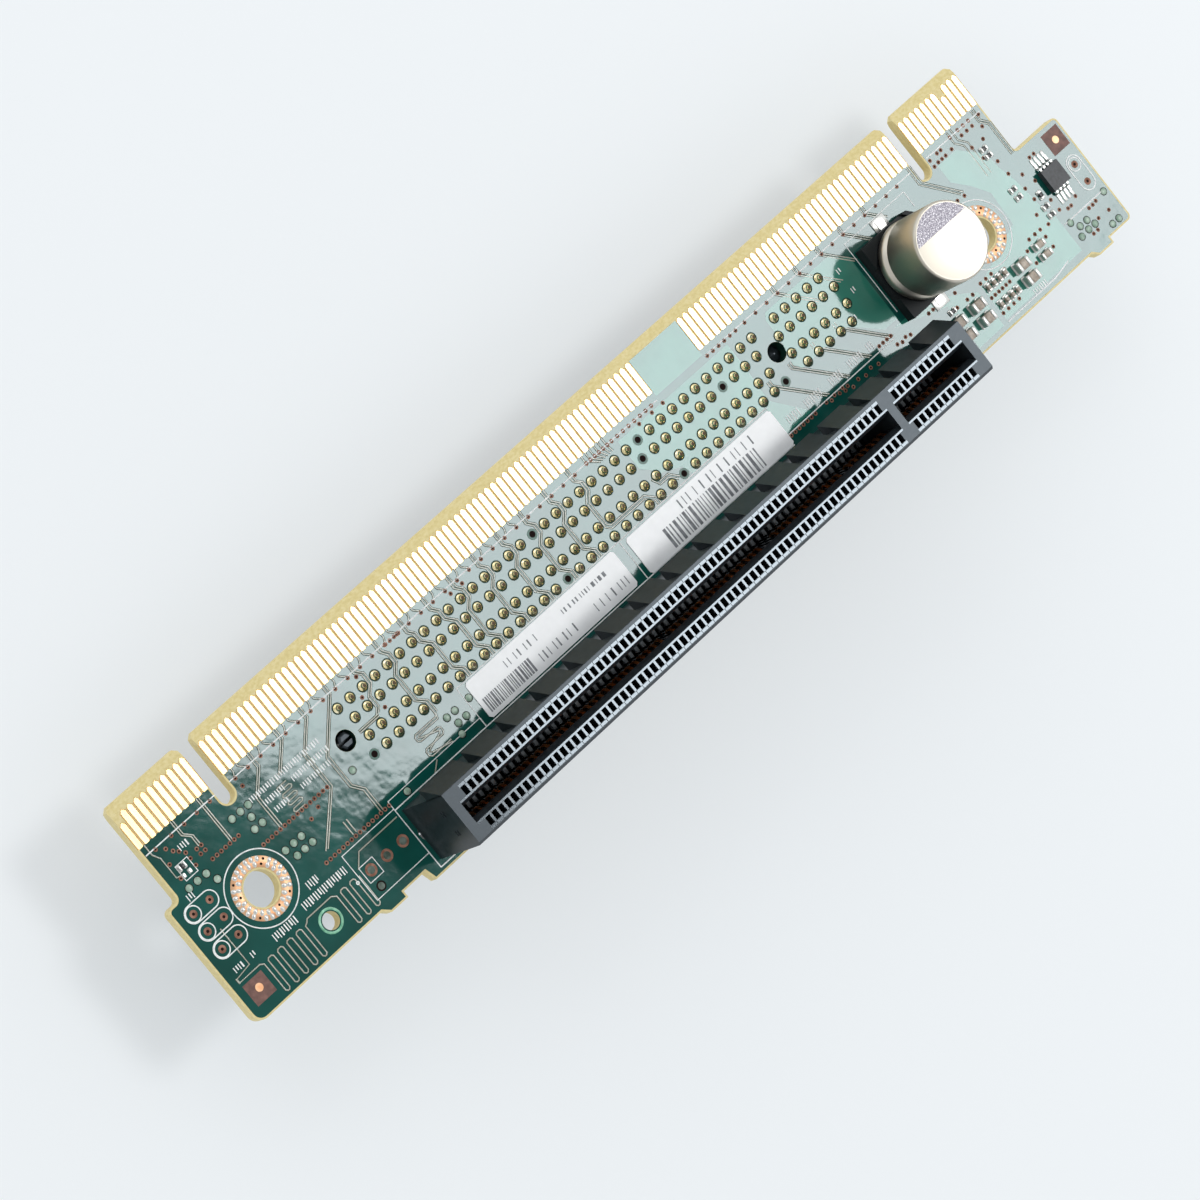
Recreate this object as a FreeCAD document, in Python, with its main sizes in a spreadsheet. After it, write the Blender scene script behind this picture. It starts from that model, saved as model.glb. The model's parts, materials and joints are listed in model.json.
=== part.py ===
import FreeCAD, Part
import os
import math
import Sketcher
from FreeCAD import Placement, Rotation, Vector

# A riser card for a rack server: a printed circuit board with a gold edge connector along one long
# side, one long card slot on each face, a mounting hole at each end and a few small components.
#
# Frame: millimetres. The origin is the centre of the left mounting hole on the component face.
# +X runs along the card, +Y points to the gold edge, +Z points out of the component face.

doc = FreeCAD.newDocument("RiserCard")

# Driving sizes

SIZES = [
    # the bare board
    ("board_thickness", 1.57, "laminate with its copper"),
    ("left_end_x", -10.13, "left end of the board"),
    ("right_end_x", 142.25, "right end of the board"),
    ("edge_y", 17.8, "front of the edge connector"),
    ("lower_y", -10.9, "long lower side of the board"),
    ("left_shoulder_y", 5.0, "shoulder left of the edge connector"),
    ("right_shoulder_y", 4.65, "shoulder right of the edge connector"),
    ("corner_radius", 0.7, "routed corners"),
    ("tab_chamfer", 0.5, "corners of the tabs that enter the socket"),
    ("heel_radius", 1.3, "lower left corner"),
    ("bevel_length", 1.15, "bevel of the connector edge, along the face"),
    ("bevel_depth", 0.42, "bevel of the connector edge, across the thickness"),
    # the strip of board that reaches below the front slot
    ("strip_margin_left", 1.94, "strip beyond the left end of the housing"),
    ("strip_margin_right", 4.22, "strip beyond the right end of the housing"),
    ("strip_drop", 1.5, "how far the strip reaches below the long side"),
    # stubs of the break-off tabs of the panel
    ("stub_width", 2.6, "width of a stub"),
    ("stub_drop", 0.8, "how far a stub stands out"),
    ("stub_run", 0.9, "sloped flank of a stub"),
    ("left_stub_x", 10.1, "start of the left stub"),
    ("right_stub_x", 135.4, "start of the right stub"),
    # holes
    ("mount_hole_diameter", 4.2, "clearance for a mounting screw"),
    ("mount_hole_span", 123.65, "from the left to the right mounting hole"),
    ("tooling_hole_x", 3.87, "tooling hole"),
    ("tooling_hole_y", -7.8, "tooling hole"),
    ("tooling_hole_diameter", 2.1, "tooling hole"),
    # edge connector
    ("first_finger_x", -7.75, "centre of the leftmost finger"),
    ("finger_pitch", 1.0, "edge connector pitch"),
    ("finger_width", 0.74, "width of a finger"),
    ("finger_length", 4.5, "length of a finger"),
    ("finger_thickness", 0.05, "gold over copper, above the laminate"),
    ("finger_setback", 1.2, "from the tips to the front of the board"),
    ("short_finger_cut", 1.1, "how much the presence-detect fingers are shorter"),
    ("notch_step", 3.0, "finger centre to finger centre across a key notch"),
    ("blank_step", 9.0, "finger centre to finger centre across the blank field"),
    ("notch_width", 2.1, "key notch"),
    ("notch_depth", 8.6, "key notch, from the front of the board"),
    ("tab_margin", 0.48, "end finger centre to the side of the tab"),
    # card slots, one on each face, both of the same make
    ("front_key_x", 92.74, "key of the slot on the component face"),
    ("front_slot_y", -7.6, "centre line of the slot on the component face"),
    ("rear_key_x", 91.81, "key of the slot on the back face"),
    ("rear_slot_y", 5.85, "centre line of the slot on the back face"),
    ("contact_pitch", 1.0, "slot contacts"),
    ("key_step", 3.0, "contact centre to contact centre across the key"),
    ("key_width", 1.15, "key of the slot"),
    ("slot_margin", 1.45, "end contact centre to the end of the slot"),
    ("slot_width", 1.7, "slot that takes the card"),
    ("slot_depth", 7.6, "slot that takes the card"),
    ("lead_in", 0.48, "sloped lips at the mouth of the slot, across"),
    ("lead_in_depth", 1.0, "sloped lips at the mouth of the slot"),
    ("end_wall", 1.22, "housing wall at each end of the slot"),
    ("housing_width", 7.0, "slot housing"),
    ("housing_height", 11.25, "slot housing, above the board"),
    ("rim_chamfer", 0.35, "upper long edge of the housing, away from the cheeks"),
    ("cheek_reach", 1.42, "how far the side cheeks stand out at their foot"),
    ("cheek_floor", 7.1, "underside of the side cheeks, above the board"),
    ("cheek_gap", 1.3, "gap between two cheeks"),
    ("cheek_pitch", 5.5, "side cheeks"),
    ("cheek_shift", 0.45, "middle of the cheek gaps from the middle of the slot"),
    ("window_length", 0.7, "contact window, along the slot"),
    ("window_breadth", 1.06, "contact window, across the slot"),
    ("window_offset", 2.13, "centre line to window centre"),
    ("window_depth", 1.5, "contact window"),
    ("peg_corners", 2.0, "six-sided locating peg, across its corners"),
    ("peg_clearance", 0.25, "locating peg in its hole, at each corner"),
    ("key_peg_length", 0.9, "plain peg under the key"),
    ("end_peg_length", 1.8, "split peg at the far end of the slot"),
    ("end_peg_offset", 1.65, "last contact to the end peg"),
    ("peg_slit", 0.5, "slit of the split peg"),
    ("inner_row", 1.25, "centre line to an inner row of tails"),
    ("outer_row", 3.25, "centre line to an outer row of tails"),
    ("tail_width", 0.95, "soldered tail on the far face"),
    ("tail_height", 0.7, "soldered tail on the far face"),
    ("contact_width", 0.42, "contact spring"),
    ("contact_reach", 0.35, "contact spring, into the slot"),
    ("contact_top", 2.2, "contact spring, below the mouth"),
    ("contact_drop", 3.4, "contact spring, height of its bulge"),
    ("contact_crown", 0.42, "crown of the bulge, as a share of its height"),
    # electrolytic capacitor
    ("can_x", 113.52, "capacitor"),
    ("can_y", 3.23, "capacitor"),
    ("can_diameter", 10.0, "capacitor can"),
    ("can_top", 10.45, "top of the can above the board"),
    ("can_seat", 1.1, "foot of the can above the board"),
    ("can_round", 0.45, "rounding of the can's top edge"),
    ("base_side", 10.3, "plastic base of the capacitor"),
    ("base_height", 1.7, "plastic base of the capacitor, at its corner posts"),
    ("base_chamfer", 2.2, "two cut corners of the base"),
    ("can_clearance", 0.2, "can between the corner posts of its base"),
    ("lead_width", 1.1, "capacitor lead"),
    ("lead_thickness", 0.3, "capacitor lead"),
    ("lead_reach", 1.1, "capacitor lead, beyond the base"),
    ("lead_inner", 1.6, "capacitor lead, from the centre"),
    # small integrated circuit
    ("ic_x", 136.65, "integrated circuit"),
    ("ic_y", -0.72, "integrated circuit"),
    ("ic_side", 2.95, "integrated circuit body"),
    ("ic_height", 1.0, "top of the body above the board"),
    ("ic_standoff", 0.12, "body above the board"),
    ("ic_pitch", 0.65, "leads of the integrated circuit"),
    ("ic_lead_width", 0.3, "leads of the integrated circuit"),
    ("ic_lead_span", 5.3, "tip to tip across the body"),
    ("ic_lead_thickness", 0.15, "leads of the integrated circuit"),
    ("ic_lead_foot", 0.65, "leads of the integrated circuit"),
    # chip components: length, width, height, terminal
    ("large_chip_length", 2.0, "large ceramic capacitor"),
    ("large_chip_width", 1.25, "large ceramic capacitor"),
    ("large_chip_height", 1.2, "large ceramic capacitor"),
    ("large_chip_terminal", 0.5, "large ceramic capacitor"),
    ("medium_chip_length", 1.6, "medium ceramic capacitor"),
    ("medium_chip_width", 0.8, "medium ceramic capacitor"),
    ("medium_chip_height", 0.8, "medium ceramic capacitor"),
    ("medium_chip_terminal", 0.35, "medium ceramic capacitor"),
    ("small_chip_length", 1.0, "small chip"),
    ("small_chip_width", 0.5, "small chip"),
    ("small_chip_height", 0.5, "small ceramic capacitor"),
    ("small_chip_terminal", 0.25, "small chip"),
    ("resistor_height", 0.35, "small resistor"),
    ("array_pitch", 1.02, "small ceramic capacitors in a row"),
    ("terminal_skin", 0.03, "terminal metal over the ceramic"),
    # labels
    ("label_thickness", 0.1, "paper label"),
    ("label_chamfer", 0.35, "corners of a paper label"),
    ("revision_label_x", 46.43, "middle of the left label"),
    ("revision_label_y", -0.84, "middle of the left label"),
    ("revision_label_length", 24.9, "left label"),
    ("revision_label_height", 5.0, "left label"),
    ("serial_label_x", 73.55, "middle of the right label"),
    ("serial_label_y", -1.0, "middle of the right label"),
    ("serial_label_length", 25.2, "right label"),
    ("serial_label_height", 5.1, "right label"),
]

# Counts, which follow the card standards.
LEFT_FINGERS = [11, 71]
RIGHT_FINGERS = [38, 11]
SHORT_FRONT = [0, 139]
SHORT_BACK = [82, 93]
LONG_CONTACTS = 71
SHORT_CONTACTS = 11
CHEEK_GAPS = 15
# Contacts of the slots that the standard reserves and that are left out, on the A and the B side.
RESERVED_A = [19, 32, 33, 50]
RESERVED_B = [12, 30, 50, 82]

sheet = doc.addObject("Spreadsheet::Sheet", "Sizes")
for row, (alias, value, note) in enumerate(SIZES, start=1):
    sheet.set("A%d" % row, alias)
    sheet.set("B%d" % row, str(value))
    sheet.set("C%d" % row, note)
    sheet.setAlias("B%d" % row, alias)
doc.recompute()


def size(alias):
    return float(sheet.get(alias))


def value_of(expression):
    return float(sheet.evalExpression(expression.replace("Sizes.", "")))


# Sketch and feature helpers

def new_body(label):
    body = doc.addObject("PartDesign::Body", label)
    body.Label = label
    return body


def new_sketch(body, name, role="XY_Plane", lift=None):
    sketch = body.newObject("Sketcher::SketchObject", name)
    plane = [f for f in body.Origin.OriginFeatures if f.Role == role][0]
    sketch.AttachmentSupport = [(plane, "")]
    sketch.MapMode = "FlatFace"
    if lift is not None:
        sketch.setExpression("AttachmentOffset.Base.z", lift)
    return sketch


def pin_point(sketch, geometry, end, x, y):
    # ties a point of the sketch to the sheet, measured from the sketch's origin
    for kind, expression in (("DistanceX", x), ("DistanceY", y)):
        number = sketch.addConstraint(
            Sketcher.Constraint(kind, -1, 1, geometry, end, value_of(expression)))
        sketch.setExpression("Constraints[%d]" % number, expression)


def polygon(sketch, points):
    # a closed outline whose corners are given as pairs of expressions
    spots = [Vector(value_of(x), value_of(y), 0) for x, y in points]
    first = sketch.GeometryCount
    count = len(spots)
    for i in range(count):
        sketch.addGeometry(Part.LineSegment(spots[i], spots[(i + 1) % count]), False)
    for i in range(count):
        sketch.addConstraint(
            Sketcher.Constraint("Coincident", first + i, 2, first + (i + 1) % count, 1))
    for i in range(count):
        pin_point(sketch, first + i, 1, points[i][0], points[i][1])


def rectangle(sketch, x, y, length, breadth):
    # a rectangle about a centre
    x0 = "%s - (%s) / 2" % (x, length)
    x1 = "%s + (%s) / 2" % (x, length)
    y0 = "%s - (%s) / 2" % (y, breadth)
    y1 = "%s + (%s) / 2" % (y, breadth)
    polygon(sketch, [(x0, y0), (x1, y0), (x1, y1), (x0, y1)])


def circle(sketch, x, y, diameter):
    centre = Vector(value_of(x), value_of(y), 0)
    number = sketch.addGeometry(
        Part.Circle(centre, Vector(0, 0, 1), value_of(diameter) / 2), False)
    pin_point(sketch, number, 3, x, y)
    constraint = sketch.addConstraint(
        Sketcher.Constraint("Diameter", number, value_of(diameter)))
    sketch.setExpression("Constraints[%d]" % constraint, diameter)


def hexagon(sketch, x, corners):
    # six sides about a centre on the X axis, with two corners along X
    far = "(%s) / 2" % corners
    near = "(%s) / 4" % corners
    high = "(%s) * sqrt(3) / 4" % corners
    polygon(sketch, [
        ("%s + %s" % (x, far), "0"),
        ("%s + %s" % (x, near), high),
        ("%s - %s" % (x, near), high),
        ("%s - %s" % (x, far), "0"),
        ("%s - %s" % (x, near), "-" + high),
        ("%s + %s" % (x, near), "-" + high),
    ])


def pad(body, sketch, name, length, reverse=False, middle=False):
    feature = body.newObject("PartDesign::Pad", name)
    feature.Profile = sketch
    feature.setExpression("Length", length)
    feature.Reversed = reverse
    feature.Midplane = middle
    sketch.Visibility = False
    doc.recompute()
    return feature


def pocket(body, sketch, name, depth=None, reverse=False, middle=False):
    before = body.Shape.Volume
    feature = body.newObject("PartDesign::Pocket", name)
    feature.Profile = sketch
    if depth is None:
        feature.Type = "ThroughAll"
    else:
        feature.setExpression("Length", depth)
    feature.Reversed = reverse
    feature.Midplane = middle
    sketch.Visibility = False
    doc.recompute()
    if body.Shape.Volume >= before - 1e-9:
        raise RuntimeError("%s removes nothing" % name)
    return feature


def pattern_along_x(body, feature, name, spacing, copies):
    pattern = body.newObject("PartDesign::LinearPattern", name)
    pattern.Originals = [feature]
    axis = [f for f in body.Origin.OriginFeatures if f.Role == "X_Axis"][0]
    pattern.Direction = (axis, [""])
    pattern.setExpression("Length", "%s * %d" % (spacing, copies - 1))
    pattern.Occurrences = copies
    body.Tip = pattern
    doc.recompute()
    return pattern


def upright_edges(shape, spots):
    # names of the edges that stand upright at the given places
    names = []
    for number, edge in enumerate(shape.Edges, start=1):
        if len(edge.Vertexes) != 2:
            continue
        low, high = edge.Vertexes[0].Point, edge.Vertexes[1].Point
        if abs(low.x - high.x) > 1e-6 or abs(low.y - high.y) > 1e-6:
            continue
        if any(abs(low.x - x) < 1e-4 and abs(low.y - y) < 1e-4 for x, y in spots):
            names.append("Edge%d" % number)
    return names


def fillet(body, base, name, edges, radius):
    feature = body.newObject("PartDesign::Fillet", name)
    feature.Base = (base, edges)
    feature.setExpression("Radius", radius)
    doc.recompute()
    return feature


def chamfer(body, base, name, edges, amount):
    feature = body.newObject("PartDesign::Chamfer", name)
    feature.Base = (base, edges)
    feature.setExpression("Size", amount)
    doc.recompute()
    return feature


def group(label, solids):
    # like pieces that are made and fitted together, as separate solids
    feature = doc.addObject("Part::Feature", label)
    feature.Label = label
    feature.Shape = Part.makeCompound(solids)
    return feature


def block(x, y, z, length, breadth, height):
    # a box about a centre in plan, from z upwards
    return Part.makeBox(length, breadth, height,
                        Vector(x - length / 2, y - breadth / 2, z))


def pointed(foot, apex):
    # a solid that narrows from a flat foot to one point
    faces = [Part.Face(Part.makePolygon(foot + foot[:1]))]
    for a, b in zip(foot, foot[1:] + foot[:1]):
        faces.append(Part.Face(Part.makePolygon([a, b, apex, a])))
    return Part.makeSolid(Part.makeShell(faces))


# Where the fingers and the contacts are

def finger_places():
    # index in pitches from the leftmost finger, and x
    places = []
    pitch = size("finger_pitch")
    x = size("first_finger_x")
    index = 0
    steps = [size("notch_step"), size("blank_step"), size("notch_step"), 0]
    gaps = [3, 9, 3, 0]
    for count, step, gap in zip(LEFT_FINGERS + RIGHT_FINGERS, steps, gaps):
        for i in range(count):
            places.append((index + i, x + i * pitch))
        x += (count - 1) * pitch + step
        index += count - 1 + gap
    return places


def contact_places():
    # contact number and x from the key, for one side of a slot
    pitch = size("contact_pitch")
    places = []
    for i in range(LONG_CONTACTS):
        places.append((SHORT_CONTACTS + 1 + i, -size("key_step") / 2 - i * pitch))
    for i in range(SHORT_CONTACTS):
        places.append((SHORT_CONTACTS - i, size("key_step") / 2 + i * pitch))
    return places


# Circuit board: one routed panel of glass-fibre laminate with green solder mask

LEFT_NOTCH_X = ("(Sizes.first_finger_x + Sizes.finger_pitch * %d + Sizes.notch_step / 2)"
                % (LEFT_FINGERS[0] - 1))
LAST_LEFT = ("(Sizes.first_finger_x + Sizes.finger_pitch * %d + Sizes.notch_step)"
             % (sum(LEFT_FINGERS) - 2))
RIGHT_NOTCH_X = ("(%s + Sizes.blank_step + Sizes.finger_pitch * %d + Sizes.notch_step / 2)"
                 % (LAST_LEFT, RIGHT_FINGERS[0] - 1))
LAST_FINGER = ("(%s + Sizes.blank_step + Sizes.finger_pitch * %d + Sizes.notch_step)"
               % (LAST_LEFT, sum(RIGHT_FINGERS) - 2))
TAB_LEFT = "Sizes.first_finger_x - Sizes.tab_margin"
TAB_RIGHT = "%s + Sizes.tab_margin" % LAST_FINGER

LONG_END = "(Sizes.key_step / 2 + Sizes.contact_pitch * %d)" % (LONG_CONTACTS - 1)
SHORT_END = "(Sizes.key_step / 2 + Sizes.contact_pitch * %d)" % (SHORT_CONTACTS - 1)
END_PEG = "(%s + Sizes.end_peg_offset)" % LONG_END
STRIP_LEFT = ("Sizes.front_key_x - %s - Sizes.slot_margin - Sizes.end_wall"
              " - Sizes.strip_margin_left" % LONG_END)
STRIP_RIGHT = ("Sizes.front_key_x + %s + Sizes.slot_margin + Sizes.end_wall"
               " + Sizes.strip_margin_right" % SHORT_END)
STRIP_Y = "Sizes.lower_y - Sizes.strip_drop"
STUB_Y = "Sizes.lower_y - Sizes.stub_drop"

board = new_body("circuit_board")
outline = new_sketch(board, "BoardOutline")
polygon(outline, [
    ("Sizes.left_end_x", "Sizes.lower_y"),
    ("Sizes.left_stub_x - Sizes.stub_run", "Sizes.lower_y"),
    ("Sizes.left_stub_x", STUB_Y),
    ("Sizes.left_stub_x + Sizes.stub_width", STUB_Y),
    ("Sizes.left_stub_x + Sizes.stub_width", "Sizes.lower_y"),
    (STRIP_LEFT + " - Sizes.stub_run / 2", "Sizes.lower_y"),
    (STRIP_LEFT, STRIP_Y),
    (STRIP_RIGHT, STRIP_Y),
    (STRIP_RIGHT, "Sizes.lower_y"),
    ("Sizes.right_stub_x - Sizes.stub_run", "Sizes.lower_y"),
    ("Sizes.right_stub_x", STUB_Y),
    ("Sizes.right_stub_x + Sizes.stub_width", STUB_Y),
    ("Sizes.right_stub_x + Sizes.stub_width", "Sizes.lower_y"),
    ("Sizes.right_end_x", "Sizes.lower_y"),
    ("Sizes.right_end_x", "Sizes.right_shoulder_y"),
    (TAB_RIGHT, "Sizes.right_shoulder_y"),
    (TAB_RIGHT, "Sizes.edge_y"),
    (TAB_LEFT, "Sizes.edge_y"),
    (TAB_LEFT, "Sizes.left_shoulder_y"),
    ("Sizes.left_end_x", "Sizes.left_shoulder_y"),
])
panel = pad(board, outline, "Panel", "Sizes.board_thickness", reverse=True)


def notch(sketch, x):
    # a slot that is open at the front of the board and ends in a half circle
    radius = "Sizes.notch_width / 2"
    bottom = "Sizes.edge_y - Sizes.notch_depth + %s" % radius
    mouth = "Sizes.edge_y + Sizes.notch_width"
    r = value_of(radius)
    cx, cy, top = value_of(x), value_of(bottom), value_of(mouth)
    left = sketch.addGeometry(Part.LineSegment(Vector(cx - r, cy, 0), Vector(cx - r, top, 0)))
    over = sketch.addGeometry(Part.LineSegment(Vector(cx - r, top, 0), Vector(cx + r, top, 0)))
    right = sketch.addGeometry(Part.LineSegment(Vector(cx + r, top, 0), Vector(cx + r, cy, 0)))
    arc = sketch.addGeometry(Part.ArcOfCircle(
        Part.Circle(Vector(cx, cy, 0), Vector(0, 0, 1), r), math.pi, 2 * math.pi))
    for a, b in ((left, over), (over, right)):
        sketch.addConstraint(Sketcher.Constraint("Coincident", a, 2, b, 1))
    sketch.addConstraint(Sketcher.Constraint("Coincident", right, 2, arc, 2))
    sketch.addConstraint(Sketcher.Constraint("Coincident", arc, 1, left, 1))
    pin_point(sketch, left, 1, "%s - %s" % (x, radius), bottom)
    pin_point(sketch, left, 2, "%s - %s" % (x, radius), mouth)
    pin_point(sketch, over, 2, "%s + %s" % (x, radius), mouth)
    pin_point(sketch, right, 2, "%s + %s" % (x, radius), bottom)
    number = sketch.addConstraint(Sketcher.Constraint("DistanceY", -1, 1, arc, 3, cy))
    sketch.setExpression("Constraints[%d]" % number, bottom)


key_notches = new_sketch(board, "KeyNotches")
notch(key_notches, LEFT_NOTCH_X)
notch(key_notches, RIGHT_NOTCH_X)
pocket(board, key_notches, "Notches")

PEG_HOLE = "Sizes.peg_corners + 2 * Sizes.peg_clearance"
holes = new_sketch(board, "HoleCentres")
circle(holes, "0", "0", "Sizes.mount_hole_diameter")
circle(holes, "Sizes.mount_hole_span", "0", "Sizes.mount_hole_diameter")
circle(holes, "Sizes.tooling_hole_x", "Sizes.tooling_hole_y", "Sizes.tooling_hole_diameter")
circle(holes, "Sizes.front_key_x", "Sizes.front_slot_y", PEG_HOLE)
circle(holes, "Sizes.front_key_x - " + END_PEG, "Sizes.front_slot_y", PEG_HOLE)
circle(holes, "Sizes.rear_key_x", "Sizes.rear_slot_y", PEG_HOLE)
circle(holes, "Sizes.rear_key_x - " + END_PEG, "Sizes.rear_slot_y", PEG_HOLE)
drilled = pocket(board, holes, "Holes")


def spots(pairs):
    return [(value_of(x), value_of(y)) for x, y in pairs]


HALF_NOTCH = "Sizes.notch_width / 2"
tab_corners = spots([
    (TAB_LEFT, "Sizes.edge_y"),
    (LEFT_NOTCH_X + " - " + HALF_NOTCH, "Sizes.edge_y"),
    (LEFT_NOTCH_X + " + " + HALF_NOTCH, "Sizes.edge_y"),
    (RIGHT_NOTCH_X + " - " + HALF_NOTCH, "Sizes.edge_y"),
    (RIGHT_NOTCH_X + " + " + HALF_NOTCH, "Sizes.edge_y"),
    (TAB_RIGHT, "Sizes.edge_y"),
])
trimmed = chamfer(board, drilled, "TabCorners", upright_edges(drilled.Shape, tab_corners),
                  "Sizes.tab_chamfer")
corners = spots([
    (TAB_RIGHT, "Sizes.right_shoulder_y"),
    ("Sizes.right_end_x", "Sizes.right_shoulder_y"),
    ("Sizes.right_end_x", "Sizes.lower_y"),
    (TAB_LEFT, "Sizes.left_shoulder_y"),
    ("Sizes.left_end_x", "Sizes.left_shoulder_y"),
])
rounded = fillet(board, trimmed, "Corners", upright_edges(trimmed.Shape, corners),
                 "Sizes.corner_radius")
heel = spots([("Sizes.left_end_x", "Sizes.lower_y")])
rounded = fillet(board, rounded, "Heel", upright_edges(rounded.Shape, heel), "Sizes.heel_radius")

bevel = new_sketch(board, "BevelSection", "YZ_Plane")
for face, inward in (("0", "-"), ("-Sizes.board_thickness", "+")):
    start = "Sizes.edge_y - Sizes.bevel_length"
    beyond = "Sizes.edge_y + Sizes.bevel_length"
    deep = "%s %s 2 * Sizes.bevel_depth" % (face, inward)
    polygon(bevel, [(start, face), (beyond, face), (beyond, deep)])
pocket(board, bevel, "Bevel", middle=True)


# Gold fingers: hard gold over copper, a separate pad for each contact, on both faces

def fingers(label, short, below):
    tip = size("edge_y") - size("finger_setback")
    thickness = size("finger_thickness")
    z = -size("board_thickness") - thickness if below else 0
    pads = []
    for index, x in finger_places():
        cut = size("short_finger_cut") if index in short else 0
        length = size("finger_length") - cut
        pads.append(block(x, tip - cut - length / 2, z, size("finger_width"), length, thickness))
    return group(label, pads)


fingers("gold_fingers_front", SHORT_FRONT, False)
fingers("gold_fingers_back", SHORT_BACK, True)


# Slot housings: black glass-filled plastic, moulded in one piece with two locating pegs.
# Each is drawn about its own key, on the plane of the board, with its mouth at +Z.

def slot_housing(label, windows):
    body = new_body(label)
    left = "-%s - Sizes.slot_margin" % LONG_END
    right = "%s + Sizes.slot_margin" % SHORT_END
    half = "Sizes.housing_width / 2"
    middle = "((%s) + (%s)) / 2" % (left, right)

    # cross-section with the sloped cheek along one side, drawn out along the slot
    section = new_sketch(body, label + "_section", "YZ_Plane", "(%s) - Sizes.end_wall" % left)
    polygon(section, [
        ("-" + half, "0"),
        (half, "0"),
        (half, "Sizes.cheek_floor"),
        (half + " + Sizes.cheek_reach", "Sizes.cheek_floor"),
        (half, "Sizes.housing_height"),
        ("-" + half + " + Sizes.rim_chamfer", "Sizes.housing_height"),
        ("-" + half, "Sizes.housing_height - Sizes.rim_chamfer"),
    ])
    pad(body, section, label + "_bar", "(%s) - (%s) + 2 * Sizes.end_wall" % (right, left))

    # gaps that part the cheek into short lengths
    gap = new_sketch(body, label + "_gap")
    first = "%s + Sizes.cheek_shift - Sizes.cheek_pitch * %s" % (middle, (CHEEK_GAPS - 1) / 2)
    rectangle(gap, first, half + " + Sizes.cheek_reach", "Sizes.cheek_gap",
              "2 * Sizes.cheek_reach")
    cut = pocket(body, gap, label + "_cheek_gap", reverse=True)
    pattern_along_x(body, cut, label + "_cheek_gaps", "Sizes.cheek_pitch", CHEEK_GAPS)

    # the slot on both sides of the key, with sloped lips at its mouth
    top = "Sizes.housing_height"
    floor = top + " - Sizes.slot_depth"
    lip = top + " - Sizes.lead_in_depth"
    half_slot = "Sizes.slot_width / 2"
    half_mouth = half_slot + " + Sizes.lead_in"
    for name, start, end in (("long", left, "-Sizes.key_width / 2"),
                             ("short", "Sizes.key_width / 2", right)):
        slot = new_sketch(body, "%s_%s_slot_section" % (label, name), "YZ_Plane", start)
        polygon(slot, [
            ("-" + half_slot, floor), (half_slot, floor), (half_slot, lip), (half_mouth, top),
            ("-(%s)" % half_mouth, top), ("-" + half_slot, lip),
        ])
        pocket(body, slot, "%s_%s_slot" % (label, name), "(%s) - (%s)" % (end, start),
               reverse=True)

    # a window over each contact, in two rows
    if windows:
        groups = (
            ("long", "-%s" % LONG_END, LONG_CONTACTS),
            ("short", "Sizes.key_step / 2", SHORT_CONTACTS),
        )
        for name, x, copies in groups:
            pair = new_sketch(body, "%s_%s_windows" % (label, name), lift="Sizes.housing_height")
            for sign in ("", "-"):
                rectangle(pair, x, sign + "Sizes.window_offset", "Sizes.window_length",
                          "Sizes.window_breadth")
            cut = pocket(body, pair, "%s_%s_window" % (label, name), "Sizes.window_depth")
            pattern_along_x(body, cut, "%s_%s_row" % (label, name), "Sizes.contact_pitch", copies)

    # pegs that locate the housing in the board: a short plain one under the key, and a split
    # one at the far end whose two prongs grip the hole
    key_peg = new_sketch(body, label + "_key_peg")
    hexagon(key_peg, "0", "Sizes.peg_corners")
    pad(body, key_peg, label + "_key_peg_post", "Sizes.key_peg_length", reverse=True)
    end_peg = new_sketch(body, label + "_end_peg")
    hexagon(end_peg, "-" + END_PEG, "Sizes.peg_corners")
    pad(body, end_peg, label + "_end_peg_post", "Sizes.end_peg_length", reverse=True)
    slit = new_sketch(body, label + "_end_peg_slit")
    rectangle(slit, "-" + END_PEG, "0", "2 * Sizes.peg_corners", "Sizes.peg_slit")
    pocket(body, slit, label + "_end_peg_split", "Sizes.end_peg_length")
    return body


front = slot_housing("front_slot_housing", True)
front.setExpression("Placement.Base.x", "Sizes.front_key_x")
front.setExpression("Placement.Base.y", "Sizes.front_slot_y")

rear = slot_housing("rear_slot_housing", False)
rear.Placement = Placement(Vector(0, 0, 0), Rotation(Vector(1, 0, 0), 180))
rear.setExpression("Placement.Base.x", "Sizes.rear_key_x")
rear.setExpression("Placement.Base.y", "Sizes.rear_slot_y")
rear.setExpression("Placement.Base.z", "-Sizes.board_thickness")


# Slot contacts: stamped springs on both walls of a slot, and their soldered tails on the far face

def spring(x, side):
    # one bulge of a spring on the wall of the slot, widest at the mouth
    wall = side * size("slot_width") / 2
    top = size("housing_height") - size("contact_top")
    low = top - size("contact_drop")
    crown = top - size("contact_drop") * size("contact_crown")
    half = size("contact_width") / 2
    foot = [Vector(x - half, wall, top), Vector(x + half, wall, top), Vector(x, wall, low)]
    return pointed(foot, Vector(x, wall - side * size("contact_reach"), crown))


def tail(x, y):
    # the soldered end of a contact, which narrows to its tip
    radius = size("tail_width") / 2
    depth = -size("board_thickness")
    foot = [Vector(x + radius * math.sin(turn), y + radius * math.cos(turn), depth)
            for turn in (0, 2 * math.pi / 3, 4 * math.pi / 3)]
    return pointed(foot, Vector(x, y, depth - size("tail_height")))


def slot_positions():
    # contact number, x and side of every contact that a slot has; side A lies at -Y
    for number, x in contact_places():
        for side, reserved in ((-1, RESERVED_A), (1, RESERVED_B)):
            if number not in reserved:
                yield number, x, side


def springs(label):
    return group(label, [spring(x, side) for number, x, side in slot_positions()])


def tails(label):
    solids = []
    for number, x, side in slot_positions():
        row = size("outer_row") if number % 2 == 0 else size("inner_row")
        solids.append(tail(x, side * row))
    return group(label, solids)


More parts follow.
